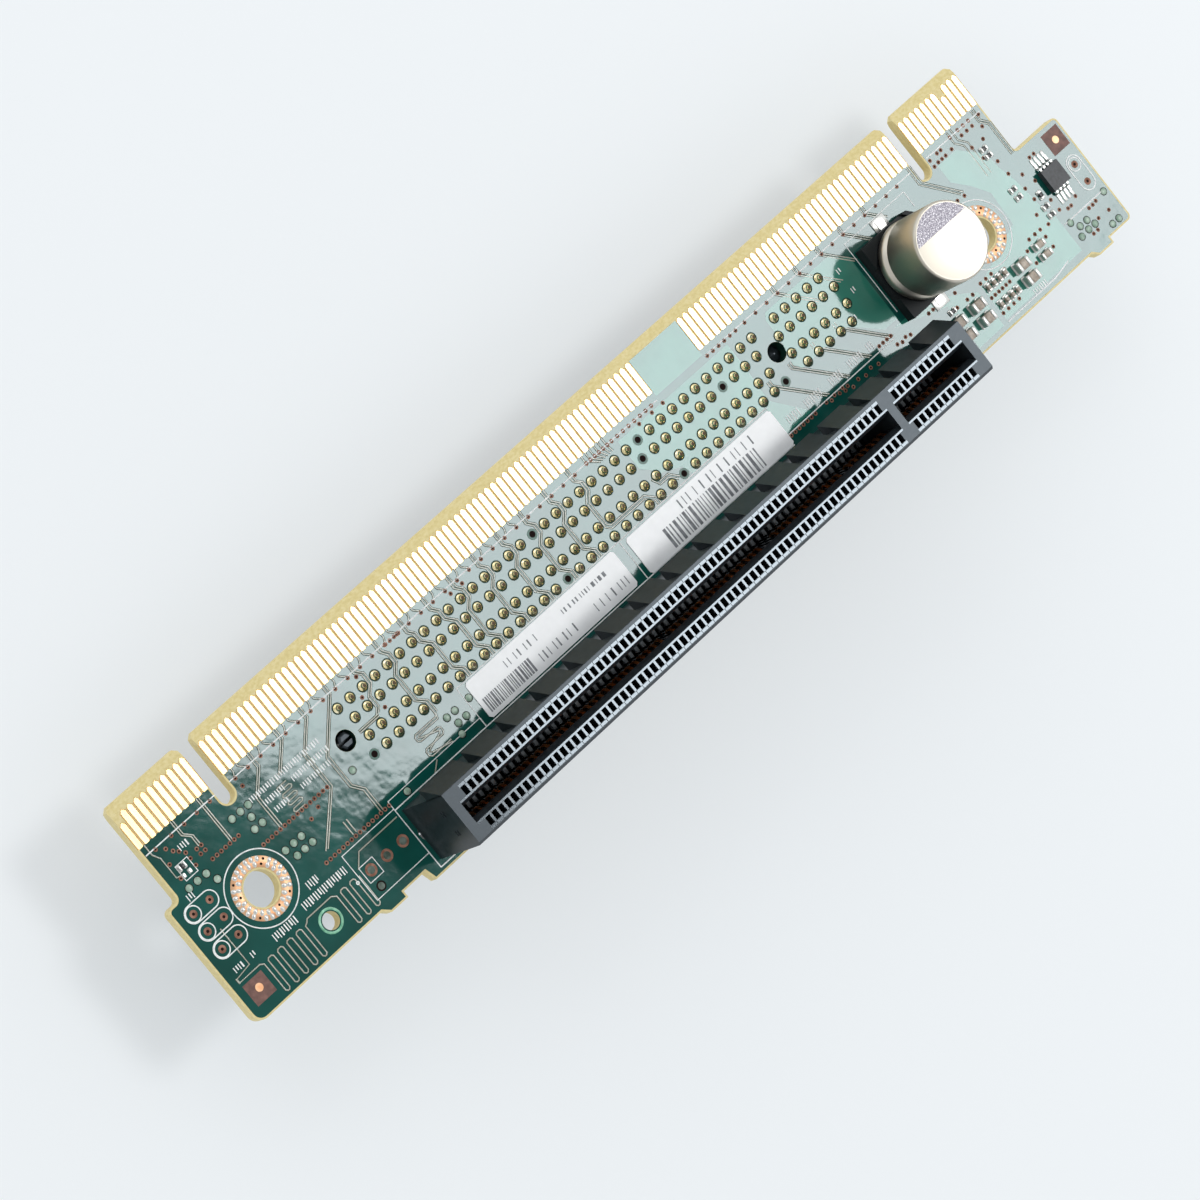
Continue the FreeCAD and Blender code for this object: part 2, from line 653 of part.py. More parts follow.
front_contacts = springs("front_slot_contacts")
front_contacts.setExpression("Placement.Base.x", "Sizes.front_key_x")
front_contacts.setExpression("Placement.Base.y", "Sizes.front_slot_y")

for feature in (springs("rear_slot_contacts"), tails("rear_slot_tails")):
    feature.Placement = Placement(Vector(0, 0, 0), Rotation(Vector(1, 0, 0), 180))
    feature.setExpression("Placement.Base.x", "Sizes.rear_key_x")
    feature.setExpression("Placement.Base.y", "Sizes.rear_slot_y")
    feature.setExpression("Placement.Base.z", "-Sizes.board_thickness")


# Electrolytic capacitor: an aluminium can on a black base, with two flat leads

def at_capacitor(feature):
    feature.setExpression("Placement.Base.x", "Sizes.can_x")
    feature.setExpression("Placement.Base.y", "Sizes.can_y")


can = new_body("capacitor_can")
radius = "Sizes.can_diameter / 2"
profile = new_sketch(can, "CanSection", "XZ_Plane")
polygon(profile, [
    ("0", "Sizes.can_seat"),
    (radius, "Sizes.can_seat"),
    (radius, "Sizes.can_top - Sizes.can_round"),
    (radius + " - Sizes.can_round", "Sizes.can_top"),
    ("0", "Sizes.can_top"),
])
turn = can.newObject("PartDesign::Revolution", "CanTurned")
turn.Profile = profile
turn.ReferenceAxis = (profile, ["V_Axis"])
turn.Angle = 360
profile.Visibility = False
at_capacitor(can)

base = new_body("capacitor_base")
plan = new_sketch(base, "BasePlan")
half = "Sizes.base_side / 2"
cut = half + " - Sizes.base_chamfer"
polygon(plan, [
    ("-" + half, "-" + half),
    (cut, "-" + half),
    (half, "-(%s)" % cut),
    (half, cut),
    (cut, half),
    ("-" + half, half),
])
pad(base, plan, "BaseBlock", "Sizes.base_height")
seat = new_sketch(base, "BaseSeat", lift="Sizes.base_height")
flat = "(Sizes.can_diameter / 2 + Sizes.can_clearance)"
short = flat + " * (sqrt(2) - 1)"
polygon(seat, [
    (flat, short), (short, flat), ("-" + short, flat), ("-" + flat, short),
    ("-" + flat, "-" + short), ("-" + short, "-" + flat), (short, "-" + flat),
    (flat, "-" + short),
])
pocket(base, seat, "BaseRecess", "Sizes.base_height - Sizes.can_seat")
channel = new_sketch(base, "LeadChannel")
for sign in ("", "-"):
    near = sign + "Sizes.lead_inner"
    far = sign + "Sizes.base_side"
    wide = "Sizes.lead_width / 2"
    polygon(channel, [("-" + wide, near), (wide, near), (wide, far), ("-" + wide, far)])
pocket(base, channel, "LeadChannels", "Sizes.lead_thickness", reverse=True)
at_capacitor(base)

lead_length = size("base_side") / 2 + size("lead_reach") - size("lead_inner")
lead_middle = size("lead_inner") + lead_length / 2
leads = group("capacitor_leads", [
    block(0, side * lead_middle, 0, size("lead_width"), lead_length, size("lead_thickness"))
    for side in (-1, 1)])
at_capacitor(leads)


# Integrated circuit: a moulded body with four gull-wing leads along each of two sides

chip = new_body("ic_body")
chip_plan = new_sketch(chip, "ChipPlan", lift="Sizes.ic_standoff")
rectangle(chip_plan, "0", "0", "Sizes.ic_side", "Sizes.ic_side")
pad(chip, chip_plan, "ChipBlock", "Sizes.ic_height - Sizes.ic_standoff")
chip.setExpression("Placement.Base.x", "Sizes.ic_x")
chip.setExpression("Placement.Base.y", "Sizes.ic_y")


def gull_wing(x, side):
    # a bent strip: foot on the board, a sloped shank and a shoulder at the body
    thick = size("ic_lead_thickness")
    body_face = size("ic_side") / 2
    tip = size("ic_lead_span") / 2
    heel = tip - size("ic_lead_foot")
    shoulder = (size("ic_standoff") + size("ic_height")) / 2
    bend = (heel - body_face) * 0.45
    left = x - size("ic_lead_width") / 2
    section = [
        (tip, 0), (heel, 0), (body_face + bend, shoulder - thick), (body_face, shoulder - thick),
        (body_face, shoulder), (body_face + bend + thick / 2, shoulder), (heel + thick / 2, thick),
        (tip, thick),
    ]
    points = [Vector(left, side * y, z) for y, z in section]
    face = Part.Face(Part.makePolygon(points + points[:1]))
    return face.extrude(Vector(size("ic_lead_width"), 0, 0))


wings = group("ic_leads", [
    gull_wing((i - 1.5) * size("ic_pitch"), side) for side in (-1, 1) for i in range(4)])
wings.setExpression("Placement.Base.x", "Sizes.ic_x")
wings.setExpression("Placement.Base.y", "Sizes.ic_y")


# Chip capacitors and resistors: a ceramic block between two metal terminals.
# Places are the middles of the parts; a turned part lies along Y.

LARGE_PLACES = [(x, y, False) for x in (113.35, 116.88, 125.3) for y in (-6.05, -8.0)]
MEDIUM_PLACES = [(129.05, -5.65, False), (129.05, -7.1, False)]
ROW_STARTS = [(119.9, -5.35), (119.9, -7.93)]
RESISTOR_PLACES = [
    (-5.55, 7.6, False),
    (131.35, 7.4, False), (131.35, 6.4, False),
    (131.1, 1.35, False), (131.1, 0.2, False),
    (133.75, -1.35, True),
    (133.3, -2.85, False), (133.3, -4.05, False),
    (113.95, -4.6, False),
]


def chips(bodies_label, terminals_label, places, kind, height):
    length = size(kind + "_length")
    width = size(kind + "_width")
    terminal = size(kind + "_terminal")
    skin = size("terminal_skin")
    bodies, terminals = [], []
    for x, y, turned in places:
        core = length - 2 * terminal
        if turned:
            bodies.append(block(x, y, 0, width, core, height))
        else:
            bodies.append(block(x, y, 0, core, width, height))
        for side in (-1, 1):
            shift = side * (length - terminal) / 2
            if turned:
                terminals.append(block(x, y + shift, 0, width + 2 * skin, terminal,
                                       height + skin))
            else:
                terminals.append(block(x + shift, y, 0, terminal, width + 2 * skin,
                                       height + skin))
    group(bodies_label, bodies)
    group(terminals_label, terminals)


chips("large_capacitor_bodies", "large_capacitor_terminals", LARGE_PLACES, "large_chip",
      size("large_chip_height"))
chips("medium_capacitor_bodies", "medium_capacitor_terminals", MEDIUM_PLACES, "medium_chip",
      size("medium_chip_height"))
ROW_PLACES = [(x + i * size("array_pitch"), y, True) for x, y in ROW_STARTS for i in range(4)]
chips("small_capacitor_bodies", "small_capacitor_terminals", ROW_PLACES, "small_chip",
      size("small_chip_height"))
chips("resistor_bodies", "resistor_terminals", RESISTOR_PLACES, "small_chip",
      size("resistor_height"))


# Paper labels

def label_sheet(name):
    body = new_body(name + "_label")
    sketch = new_sketch(body, name + "_label_plan")
    rectangle(sketch, "0", "0", "Sizes.%s_label_length" % name, "Sizes.%s_label_height" % name)
    paper = pad(body, sketch, name + "_paper", "Sizes.label_thickness")
    half_x = size(name + "_label_length") / 2
    half_y = size(name + "_label_height") / 2
    places = [(a * half_x, b * half_y) for a in (-1, 1) for b in (-1, 1)]
    chamfer(body, paper, name + "_label_corners", upright_edges(paper.Shape, places),
            "Sizes.label_chamfer")
    body.setExpression("Placement.Base.x", "Sizes.%s_label_x" % name)
    body.setExpression("Placement.Base.y", "Sizes.%s_label_y" % name)
    return body


label_sheet("revision")
label_sheet("serial")


# Checks and STEP files, one for each piece

doc.recompute()
for thing in doc.Objects:
    if "Invalid" in thing.State or "Error" in thing.State:
        raise RuntimeError("%s did not compute: %s" % (thing.Label, thing.State))

pieces = [thing for thing in doc.Objects
          if thing.TypeId == "PartDesign::Body"
          or (thing.TypeId == "Part::Feature" and not thing.getParentGeoFeatureGroup())]
os.makedirs("parts", exist_ok=True)
for piece in pieces:
    shape = piece.Shape
    if shape.isNull() or not shape.isValid():
        raise RuntimeError("%s has no valid shape" % piece.Label)
    shape.exportStep(os.path.join("parts", piece.Label + ".step"))
    box = shape.BoundBox
    print("%-28s solids %3d volume %9.2f  x %.2f %.2f  y %.2f %.2f  z %.2f %.2f" % (
        piece.Label, len(shape.Solids), shape.Volume,
        box.XMin, box.XMax, box.YMin, box.YMax, box.ZMin, box.ZMax))
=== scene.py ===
import json
import math
import random

import bmesh
import bpy
from mathutils import Matrix, Vector


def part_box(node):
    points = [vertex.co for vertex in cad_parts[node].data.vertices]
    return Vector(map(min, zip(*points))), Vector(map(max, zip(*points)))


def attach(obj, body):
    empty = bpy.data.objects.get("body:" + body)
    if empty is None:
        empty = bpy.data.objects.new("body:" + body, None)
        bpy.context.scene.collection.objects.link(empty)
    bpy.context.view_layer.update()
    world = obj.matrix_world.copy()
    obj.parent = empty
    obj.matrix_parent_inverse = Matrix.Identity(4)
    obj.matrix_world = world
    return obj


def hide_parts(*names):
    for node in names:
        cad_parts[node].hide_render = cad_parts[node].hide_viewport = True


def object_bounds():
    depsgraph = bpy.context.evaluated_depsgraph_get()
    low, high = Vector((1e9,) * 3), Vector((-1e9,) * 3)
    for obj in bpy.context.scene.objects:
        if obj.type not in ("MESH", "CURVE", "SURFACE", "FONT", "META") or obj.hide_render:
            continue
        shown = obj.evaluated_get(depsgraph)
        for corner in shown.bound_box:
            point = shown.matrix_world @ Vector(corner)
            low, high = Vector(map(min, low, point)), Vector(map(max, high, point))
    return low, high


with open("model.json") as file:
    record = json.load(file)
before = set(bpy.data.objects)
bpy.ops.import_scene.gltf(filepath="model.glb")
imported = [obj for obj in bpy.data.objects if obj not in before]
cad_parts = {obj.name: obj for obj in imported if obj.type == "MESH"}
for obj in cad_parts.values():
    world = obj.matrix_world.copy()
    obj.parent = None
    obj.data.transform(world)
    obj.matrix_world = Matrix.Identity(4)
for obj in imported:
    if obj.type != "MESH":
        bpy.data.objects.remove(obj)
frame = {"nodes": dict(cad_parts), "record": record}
cad_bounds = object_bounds()
nodes = frame["nodes"]
MM = 0.001


# Circuit board
# A sheet of glass-fibre laminate, 1.57 mm thick, routed to outline and drilled. The bare laminate
# shows on its edges, in the holes, between the gold fingers and on a narrow margin all round.

def linear(hex_colour):
    # an sRGB hex colour as linear light
    channels = [int(hex_colour[i:i + 2], 16) / 255 for i in (1, 3, 5)]
    return tuple(c / 12.92 if c <= 0.04045 else ((c + 0.055) / 1.055) ** 2.4
                 for c in channels) + (1.0,)


def add(tree, kind, links=None, stops=(), **settings):
    # one node with its settings, its constants, its links and, for a ramp, its colour stops
    node = tree.nodes.new(kind)
    for name, value in settings.items():
        setattr(node, name, value)
    for name, value in (links or {}).items():
        if isinstance(value, bpy.types.NodeSocket):
            tree.links.new(value, node.inputs[name])
        else:
            node.inputs[name].default_value = value
    for i, (position, colour) in enumerate(stops):
        elements = node.color_ramp.elements
        if i == 0:
            elements.remove(elements[1])
        element = elements.new(position) if i else elements[0]
        element.position = position
        element.color = linear(colour)
    return node


def finish(name, colour, roughness, metallic=0.0, **constants):
    # a material whose constants sit on the shader itself
    material = bpy.data.materials.new(name)
    material.use_nodes = True
    shader = material.node_tree.nodes["Principled BSDF"]
    constants.update(Base_Color=linear(colour), Roughness=roughness, Metallic=metallic)
    for socket, value in constants.items():
        shader.inputs[socket.replace("_", " ")].default_value = value
    return material


def grain(material, size, stops=(), depth=0.0, step=0.04, gloss=(), detail=2.0,
          stretch=(1.0, 1.0, 1.0)):
    # an uneven pattern on a material, its grain and the step of its relief given in millimetres;
    # a real grain of some hundredths of a millimetre is drawn about half a millimetre wide, to show
    tree = material.node_tree
    shader = tree.nodes["Principled BSDF"]
    place = add(tree, "ShaderNodeTexCoord").outputs["Object"]
    stretched = add(tree, "ShaderNodeMapping", {"Vector": place, "Scale": stretch})
    noise = add(tree, "ShaderNodeTexNoise", {"Vector": stretched.outputs["Vector"],
                                             "Scale": 1 / (size * MM),
                                             "Detail": detail}).outputs["Fac"]
    if stops:
        colours = add(tree, "ShaderNodeValToRGB", {"Fac": noise}, stops)
        tree.links.new(colours.outputs["Color"], shader.inputs["Base Color"])
    if gloss:
        shine = add(tree, "ShaderNodeMapRange", {"Value": noise, "To Min": gloss[0],
                                                 "To Max": gloss[1]})
        tree.links.new(shine.outputs["Result"], shader.inputs["Roughness"])
    if depth:
        bump = add(tree, "ShaderNodeBump", {"Height": noise, "Strength": depth,
                                            "Distance": step * MM})
        tree.links.new(bump.outputs["Normal"], shader.inputs["Normal"])
    return material


# Routed laminate: pale yellow resin over glass cloth with its yarns 0.45 mm apart, so its edge is
# faintly layered.
laminate = grain(finish("routed glass-epoxy laminate", "#d9c88c", 0.5), 0.4545,
                 [(0.3, "#d4c284"), (0.5, "#dccb90"), (0.72, "#e3d4a0")], depth=0.12,
                 stretch=(1.0, 1.0, 3.0))
board = nodes["circuit_board"]
board.material_slots[0].material = laminate
BOARD_LOW, BOARD_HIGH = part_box("circuit_board")
THICKNESS = BOARD_HIGH.z - BOARD_LOW.z


# Solder mask
# Green lacquer over both faces, a hair back from the routed edge and open over the fingers. It is
# glossy, so it mirrors the lamps, and it takes up the print of the glass cloth below.

MASK_MARGIN = 0.22 * MM
MASK_LIFT = 0.012 * MM
MASK_FRONT_Y = 12.1 * MM
# the stretch of mask between the two groups of fingers: from x, to x, to y
BLANK_FIELD = (75.72 * MM, 83.82 * MM, 16.6 * MM)
TOUCHING = 1e-6


def merged(mesh):
    # a copy of a CAD mesh, which comes as loose triangles, with its corners joined
    bm = bmesh.new()
    bm.from_mesh(mesh)
    bmesh.ops.remove_doubles(bm, verts=bm.verts, dist=TOUCHING)
    return bm


def as_mesh(name, bm):
    # a shape that is ready, as mesh data
    mesh = bpy.data.meshes.new(name)
    bm.to_mesh(mesh)
    bm.free()
    return mesh


def set_down(name, data):
    # a new object in the scene
    thing = bpy.data.objects.new(name, data)
    bpy.context.scene.collection.objects.link(thing)
    return thing


def piece(name, mesh, material, slot, *stands_for):
    # a finished piece of the object, with its finish, under the root; its slot is not used
    if isinstance(mesh, bmesh.types.BMesh):
        mesh = as_mesh(name, mesh)
    mesh.materials.clear()
    mesh.materials.append(material)
    thing = set_down(name, mesh)
    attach(thing, "root")
    if stands_for:
        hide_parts(*stands_for)


def mask_sheet(name, face_z, lift, material):
    # one face of the board, taken in at its rim and cut away over the fingers
    bm = merged(board.data)
    away = [f for f in bm.faces if any(abs(v.co.z - face_z) > TOUCHING for v in f.verts)]
    bmesh.ops.delete(bm, geom=away, context="FACES")
    rim = bmesh.ops.inset_region(bm, faces=bm.faces[:], use_boundary=True, use_even_offset=True,
                                 thickness=MASK_MARGIN)["faces"]
    bmesh.ops.delete(bm, geom=rim, context="FACES")
    left, right, far = BLANK_FIELD
    for point, normal in (((0, MASK_FRONT_Y, 0), (0, 1, 0)), ((left, 0, 0), (1, 0, 0)),
                          ((right, 0, 0), (1, 0, 0)), ((0, far, 0), (0, 1, 0))):
        bmesh.ops.bisect_plane(bm, geom=bm.verts[:] + bm.edges[:] + bm.faces[:], dist=1e-8,
                               plane_co=point, plane_no=normal)
    middles = [(face, face.calc_center_median()) for face in bm.faces]
    bare = [face for face, at in middles
            if at.y > MASK_FRONT_Y and not (left < at.x < right and at.y < far)]
    bmesh.ops.delete(bm, geom=bare, context="FACES")
    for vertex in bm.verts:
        vertex.co.z = face_z + lift
    piece(name, bm, material, "laminate")


# Cured solder mask: deep green and glossy, patchy over 7 mm, with waves 2.4 mm wide where it flowed
# and a faint print of the cloth's yarns, 0.67 mm apart.
def mask_finish(name, deep, pale, roughness, **constants):
    material = finish(name, deep, roughness, IOR=1.55, Specular_Tint=linear("#f2fafc"),
                      **constants)
    grain(material, 7.143, [(0.35, deep), (0.65, pale)], detail=3.0)
    tree = material.node_tree
    place = add(tree, "ShaderNodeTexCoord").outputs["Object"]
    weave, waves = [add(tree, "ShaderNodeTexNoise", {"Vector": place, "Scale": 1 / (size * MM),
                                                     "Detail": 2.0}).outputs["Fac"]
                    for size in (0.6667, 2.381)]
    height = add(tree, "ShaderNodeMath", {0: weave, 1: 0.05, 2: waves}, operation="MULTIPLY_ADD")
    bump = add(tree, "ShaderNodeBump", {"Height": height.outputs["Value"], "Strength": 0.36,
                                        "Distance": 0.04 * MM})
    tree.links.new(bump.outputs["Normal"], tree.nodes["Principled BSDF"].inputs["Normal"])
    return material


solder_mask = mask_finish("green solder mask on bare laminate", "#0b443c", "#10524a", 0.07)
mask_sheet("solder_mask_front", BOARD_HIGH.z, MASK_LIFT, solder_mask)
mask_sheet("solder_mask_back", BOARD_LOW.z, -MASK_LIFT, solder_mask)


# Copper planes
# Broad areas of copper foil, etched to shape and left under the lacquer. They carry the supply and
# the ground, and turn the lacquer over them a lighter green.

PLANE_LIFT = 0.017
PLANES = [
    [(75.9, 4.6), (95.0, 4.6), (95.0, 1.2), (94.7, -3.6), (98.4, -7.9), (93.8, -7.9),
     (93.8, -4.0), (81.0, -4.0), (80.4, -2.5), (77.0, -1.1), (77.0, -0.4), (75.9, 0.6)],
    [(101.6, 4.4), (113.0, 4.4), (115.2, 2.4), (115.2, -6.6), (112.9, -6.6), (109.2, -3.4),
     (101.0, -3.4), (100.2, -2.4), (101.0, 1.0), (101.0, 3.6)],
    [(83.5, 10.7), (91.5, 10.7), (91.5, 5.6), (83.5, 5.6)],
    [(132.6, 3.7), (136.0, 3.7), (139.1, 0.9), (139.3, -1.4), (140.0, -3.8), (140.8, -9.4),
     (141.4, -10.4), (141.4, -15.6), (127.0, -15.6), (127.0, -10.4), (135.9, -7.6),
     (136.2, -3.0), (134.6, -0.8), (132.6, 1.2)],
    [(114.0, -7.2), (119.4, -7.2), (124.6, -9.8), (126.2, -10.8), (126.2, -15.9), (121.6, -15.9),
     (121.6, -9.6)],
]


def loose_boxes(node):
    # the box of each separate solid of a CAD node, from left to right
    bm = merged(nodes[node].data)
    seen, boxes = set(), []
    for start in bm.verts:
        stack, corners = [start], []
        while stack:
            vertex = stack.pop()
            if vertex not in seen:
                seen.add(vertex)
                corners.append(vertex.co.copy())
                stack += [edge.other_vert(vertex) for edge in vertex.link_edges]
        if corners:
            boxes.append((Vector(map(min, *corners)), Vector(map(max, *corners))))
    bm.free()
    return sorted(boxes, key=lambda box: (round(box[0].x, 6), box[0].y))


def middle(box):
    return (box[0] + box[1]) / 2


FINGERS_FRONT, FINGERS_BACK = loose_boxes("gold_fingers_front"), loose_boxes("gold_fingers_back")
FIRST_FINGER_X = middle(FINGERS_FRONT[0]).x
SLOT_LINE_Y = middle(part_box("rear_slot_contacts")).y


def spot(x, y, z=0.0):
    # millimetres from the leftmost finger and from the rear slot's centre line, in the row frame
    return Vector((FIRST_FINGER_X + x * MM, SLOT_LINE_Y + y * MM, z * MM))


def spots(places, z):
    return [spot(x, y, z) for x, y in places]


def sheets(name, outlines, material, slot):
    # thin flat pieces, each from the corners of its outline
    bm = bmesh.new()
    for outline in outlines:
        bm.faces.new([bm.verts.new(corner) for corner in outline])
    bmesh.ops.triangulate(bm, faces=bm.faces)
    piece(name, bm, material, slot)


# Solder mask over foil: the same gloss, but paler, since the copper throws the light back.
mask_over_copper = mask_finish("green solder mask over a copper plane", "#246c5c", "#2d7a69", 0.07)
sheets("copper_planes_front", [spots(outline, PLANE_LIFT) for outline in PLANES],
       mask_over_copper, "laminate")


# Tracks
# Etched copper tracks under the lacquer, which rounds their shoulders. Most run in pairs from the
# fingers to the rows of pins; some are folded to and fro to even out their length.

def new_tree(name, *sockets):
    # an empty tree of nodes, with what comes from its named inputs
    tree = bpy.data.node_groups.new(name, "GeometryNodeTree")
    for socket, kind in sockets:
        tree.interface.new_socket(socket, in_out="INPUT", socket_type="NodeSocket" + kind)
    tree.interface.new_socket("Geometry", in_out="OUTPUT", socket_type="NodeSocketGeometry")
    return tree, add(tree, "NodeGroupInput").outputs


def end_tree(tree, geometry, material):
    # real geometry with its finish on it
    real = add(tree, "GeometryNodeRealizeInstances", {"Geometry": geometry})
    coated = add(tree, "GeometryNodeSetMaterial", {"Geometry": real.outputs["Geometry"],
                                                   "Material": material})
    add(tree, "NodeGroupOutput", {"Geometry": coated.outputs["Geometry"]})


def grown(name, tree, vertices, edges, inputs, fields=None):
    # what a tree makes of some points and edges, as a plain mesh
    mesh = bpy.data.meshes.new(name + "_places")
    mesh.from_pydata(vertices, edges, [])
    for field, values in (fields or {}).items():
        layer = mesh.attributes.new(field, "FLOAT_VECTOR", "POINT")
        for i, value in enumerate(values):
            layer.data[i].vector = value
    host = set_down(name + "_host", mesh)
    modifier = host.modifiers.new("nodes", "NODES")
    modifier.node_group = tree
    for item in tree.interface.items_tree:
        if item.name in inputs:
            modifier[item.identifier] = inputs[item.name]
    graph = bpy.context.evaluated_depsgraph_get()
    made = bpy.data.meshes.new_from_object(host.evaluated_get(graph))
    bpy.data.objects.remove(host)
    return made


ribbon, given = new_tree("ribbon along a path", ("Paths", "Geometry"), ("Width", "Float"),
                         ("Height", "Float"), ("Finish", "Material"))
path = add(ribbon, "GeometryNodeMeshToCurve", {"Mesh": given["Paths"]})
circle = add(ribbon, "GeometryNodeCurvePrimitiveCircle", {"Resolution": 8, "Radius": 0.5})
size = add(ribbon, "ShaderNodeCombineXYZ", {"X": given["Width"], "Y": given["Height"], "Z": 1.0})
section = add(ribbon, "GeometryNodeTransform", {"Geometry": circle.outputs["Curve"],
                                                "Scale": size.outputs["Vector"]})
swept = add(ribbon, "GeometryNodeCurveToMesh", {"Curve": path.outputs["Curve"],
                                                "Profile Curve": section.outputs["Geometry"]})
smooth = add(ribbon, "GeometryNodeSetShadeSmooth", {"Geometry": swept.outputs["Mesh"]})
end_tree(ribbon, smooth.outputs["Geometry"], given["Finish"])


def lay(name, paths, material, slot, width, height, z):
    # ribbons along paths on a face of the board; a path that ends where it starts is closed
    vertices, edges = [], []
    for points in paths:
        first = len(vertices)
        closed = points[0] == points[-1]
        run = points[:-1] if closed else points
        vertices += spots(run, z)
        edges += [(first + i, first + i + 1) for i in range(len(run) - 1)]
        if closed:
            edges.append((first + len(run) - 1, first))
    mesh = grown(name, ribbon, vertices, edges,
                 {"Width": width * MM, "Height": height * MM, "Finish": material})
    piece(name, mesh, material, slot)


def pair(points, gap=0.36):
    # two tracks side by side
    return [[(x + gap * side, y) for x, y in points] for side in (-0.5, 0.5)]


def folded(x0, x1, y_low, y_high, period, width=0.62, cut=0.2):
    # a track folded to and fro between two heights, from left to right
    points = []
    x = x0
    while x < x1:
        points += [(x, y_high - cut), (x, y_low + cut), (x + cut, y_low),
                   (x + width - cut, y_low), (x + width, y_low + cut),
                   (x + width, y_high - cut), (x + width + cut, y_high),
                   (x + period - cut, y_high)]
        x += period
    return points[:-2]


def turned(points, x, y):
    # the same track turned a quarter, about a corner
    return [(x + b, y + a) for a, b in points]


tracks = []
# pairs that pass between the rows of pins, one for every four fingers
for start, over in ((44.4, 1.6), (48.4, -0.4), (52.4, -0.4), (56.4, -0.4), (60.4, -0.4),
                    (64.4, -0.4)):
    into, past, out = start + 0.65, start + over, start + over + 1.05
    tracks += pair([(start, 6.2), (start, 4.6), (into, 3.85), (into, 2.75), (past, 1.7),
                    (past, -1.85), (out, -2.9), (out, -3.9)])
# pairs with routes of their own, the last ones long and slanting
for route in (
        [(40.45, 6.2), (40.45, 4.4), (40.95, 3.8), (40.95, 2.7), (42.0, 1.6), (42.0, -1.85),
         (43.05, -2.85), (43.05, -3.9)],
        [(36.4, 6.2), (36.4, 4.8), (37.0, 4.0), (37.0, 2.75), (36.0, 1.75), (36.0, -1.85),
         (37.0, -2.8), (37.0, -4.4)],
        [(32.4, 6.2), (32.4, 4.95), (33.05, 4.3), (33.05, 2.95), (31.95, 1.85), (31.95, 0.4),
         (31.4, -0.15)],
        [(16.48, 6.2), (16.48, 4.3), (14.1, 1.9), (14.1, -2.2)],
        [(20.6, 6.2), (20.6, 4.8), (17.85, 2.1)],
        [(24.5, 6.2), (24.5, 4.8), (21.6, 1.9), (21.6, -2.7), (16.5, -7.6)],
        [(28.4, 6.2), (28.4, 5.0), (23.5, 0.0), (23.5, -4.1), (24.5, -5.4), (24.5, -8.5)]):
    tracks += pair(route)
tracks += pair([(4.6, 6.2), (4.6, 4.3), (5.4, 3.5), (5.4, 2.2)], 0.3)
tracks += pair([(8.6, 6.2), (8.6, 0.3)], 0.3)
tracks += pair([(20.3, -6.5), (20.3, -8.3)], 0.5)
tracks += pair([(129.2, 6.0), (129.2, 3.5), (133.0, -0.7)], 0.5)
# slanting pairs from the pins, and from the fingers, at the right
for x in (96.2, 99.9, 103.9, 107.9):
    tracks += pair([(x, -1.9), (x, -2.6), (x + 5.2, -7.8)], 0.4)
for x, fall in ((104.3, 6.6), (108.3, 6.6), (112.3, 5.4), (116.4, 4.4), (120.6, 3.2)):
    tracks += pair([(x, 6.2), (x, 5.2), (x + fall * 0.62, 5.2 - fall * 0.62)], 0.4)
# single tracks
tracks += [[(31.5, -0.2), (28.3, -0.2)], [(31.4, -0.45), (28.3, -0.45)],
           [(1.1, -6.1), (1.1, -11.1), (-1.1, -11.4), (-1.1, -12.0)],
           [(0.44, 6.2), (0.44, 4.8), (0.95, 3.95), (0.95, 1.2), (1.6, 1.06)],
           [(68.22, 6.2), (68.22, 4.6), (68.87, 3.95), (68.87, 2.8), (67.82, 1.75),
            (67.82, -1.75), (68.4, -2.35), (74.0, -2.35), (75.0, -3.3), (75.0, -3.9)],
           [(68.58, 6.2), (68.58, 4.5), (69.23, 3.85), (69.23, 2.7), (68.18, 1.6),
            (68.18, -1.6), (68.6, -2.0), (74.2, -2.0), (75.4, -3.15), (75.4, -3.9)],
           [(76.2, -1.2), (76.8, -2.35), (78.2, -2.35), (79.1, -3.3)],
           [(76.6, -1.2), (77.0, -2.0), (78.4, -2.0), (79.5, -3.2)],
           [(33.5, -8.4), (32.3, -9.4)], [(17.9, -11.6), (19.3, -10.1), (25.4, -10.1)]]
for x in (136.4, 137.1, 141.0, 141.4):
    tracks.append([(x, 6.0), (x, 4.4), (x + 0.9, 3.4), (x + 0.9, -1.2)])
for i in range(6):
    tracks.append([(71.0 + 0.7 * i, 6.2), (71.0 + 0.7 * i, 5.4), (72.6 + 0.42 * i, 4.2)])
# stubs from the other fingers to the row of plated holes
for i in range(24):
    hole = 13.5 + 1.996 * i
    tracks.append([(hole - 0.9, 6.2), (hole - 0.85, 5.85), (hole - 0.2, 5.25)] if i % 2 else
                  [(hole + 0.3, 6.2), (hole + 0.3, 5.75), (hole + 0.05, 5.3)])
# folded tracks
tracks.append([(-1.2, -11.3), (-1.2, -11.9), (2.0, -11.9)]
              + folded(2.45, 9.0, -16.1, -12.0, 1.46)
              + [(9.3, -12.0), (9.6, -11.7), (13.4, -11.7)]
              + folded(13.95, 17.6, -16.0, -11.9, 1.46))
tracks.append(turned(folded(0.0, 3.6, 0.0, 1.75, 0.96, 0.48), 16.4, -2.2))
for inset in (0.0, 0.3):
    left, near, turn, far, right = (33.05 + inset, 33.3 + inset, 33.4 + inset, 36.0 - inset,
                                    36.3 - inset)
    tracks.append([(37.0 - 0.36 * (0.5 - inset), -4.4), (36.7, -4.75 - inset),
                   (near, -4.75 - inset), (left, -5.0 - inset), (left, -5.45 + inset),
                   (turn, -5.7 + inset), (far, -5.75 - inset), (right, -6.0 - inset),
                   (right, -6.45 + inset), (far, -6.75 + inset), (near, -6.75 - inset),
                   (left, -7.0 - inset), (left, -7.5 + inset), (turn, -7.8 + inset),
                   (36.4, -7.8 - inset)])
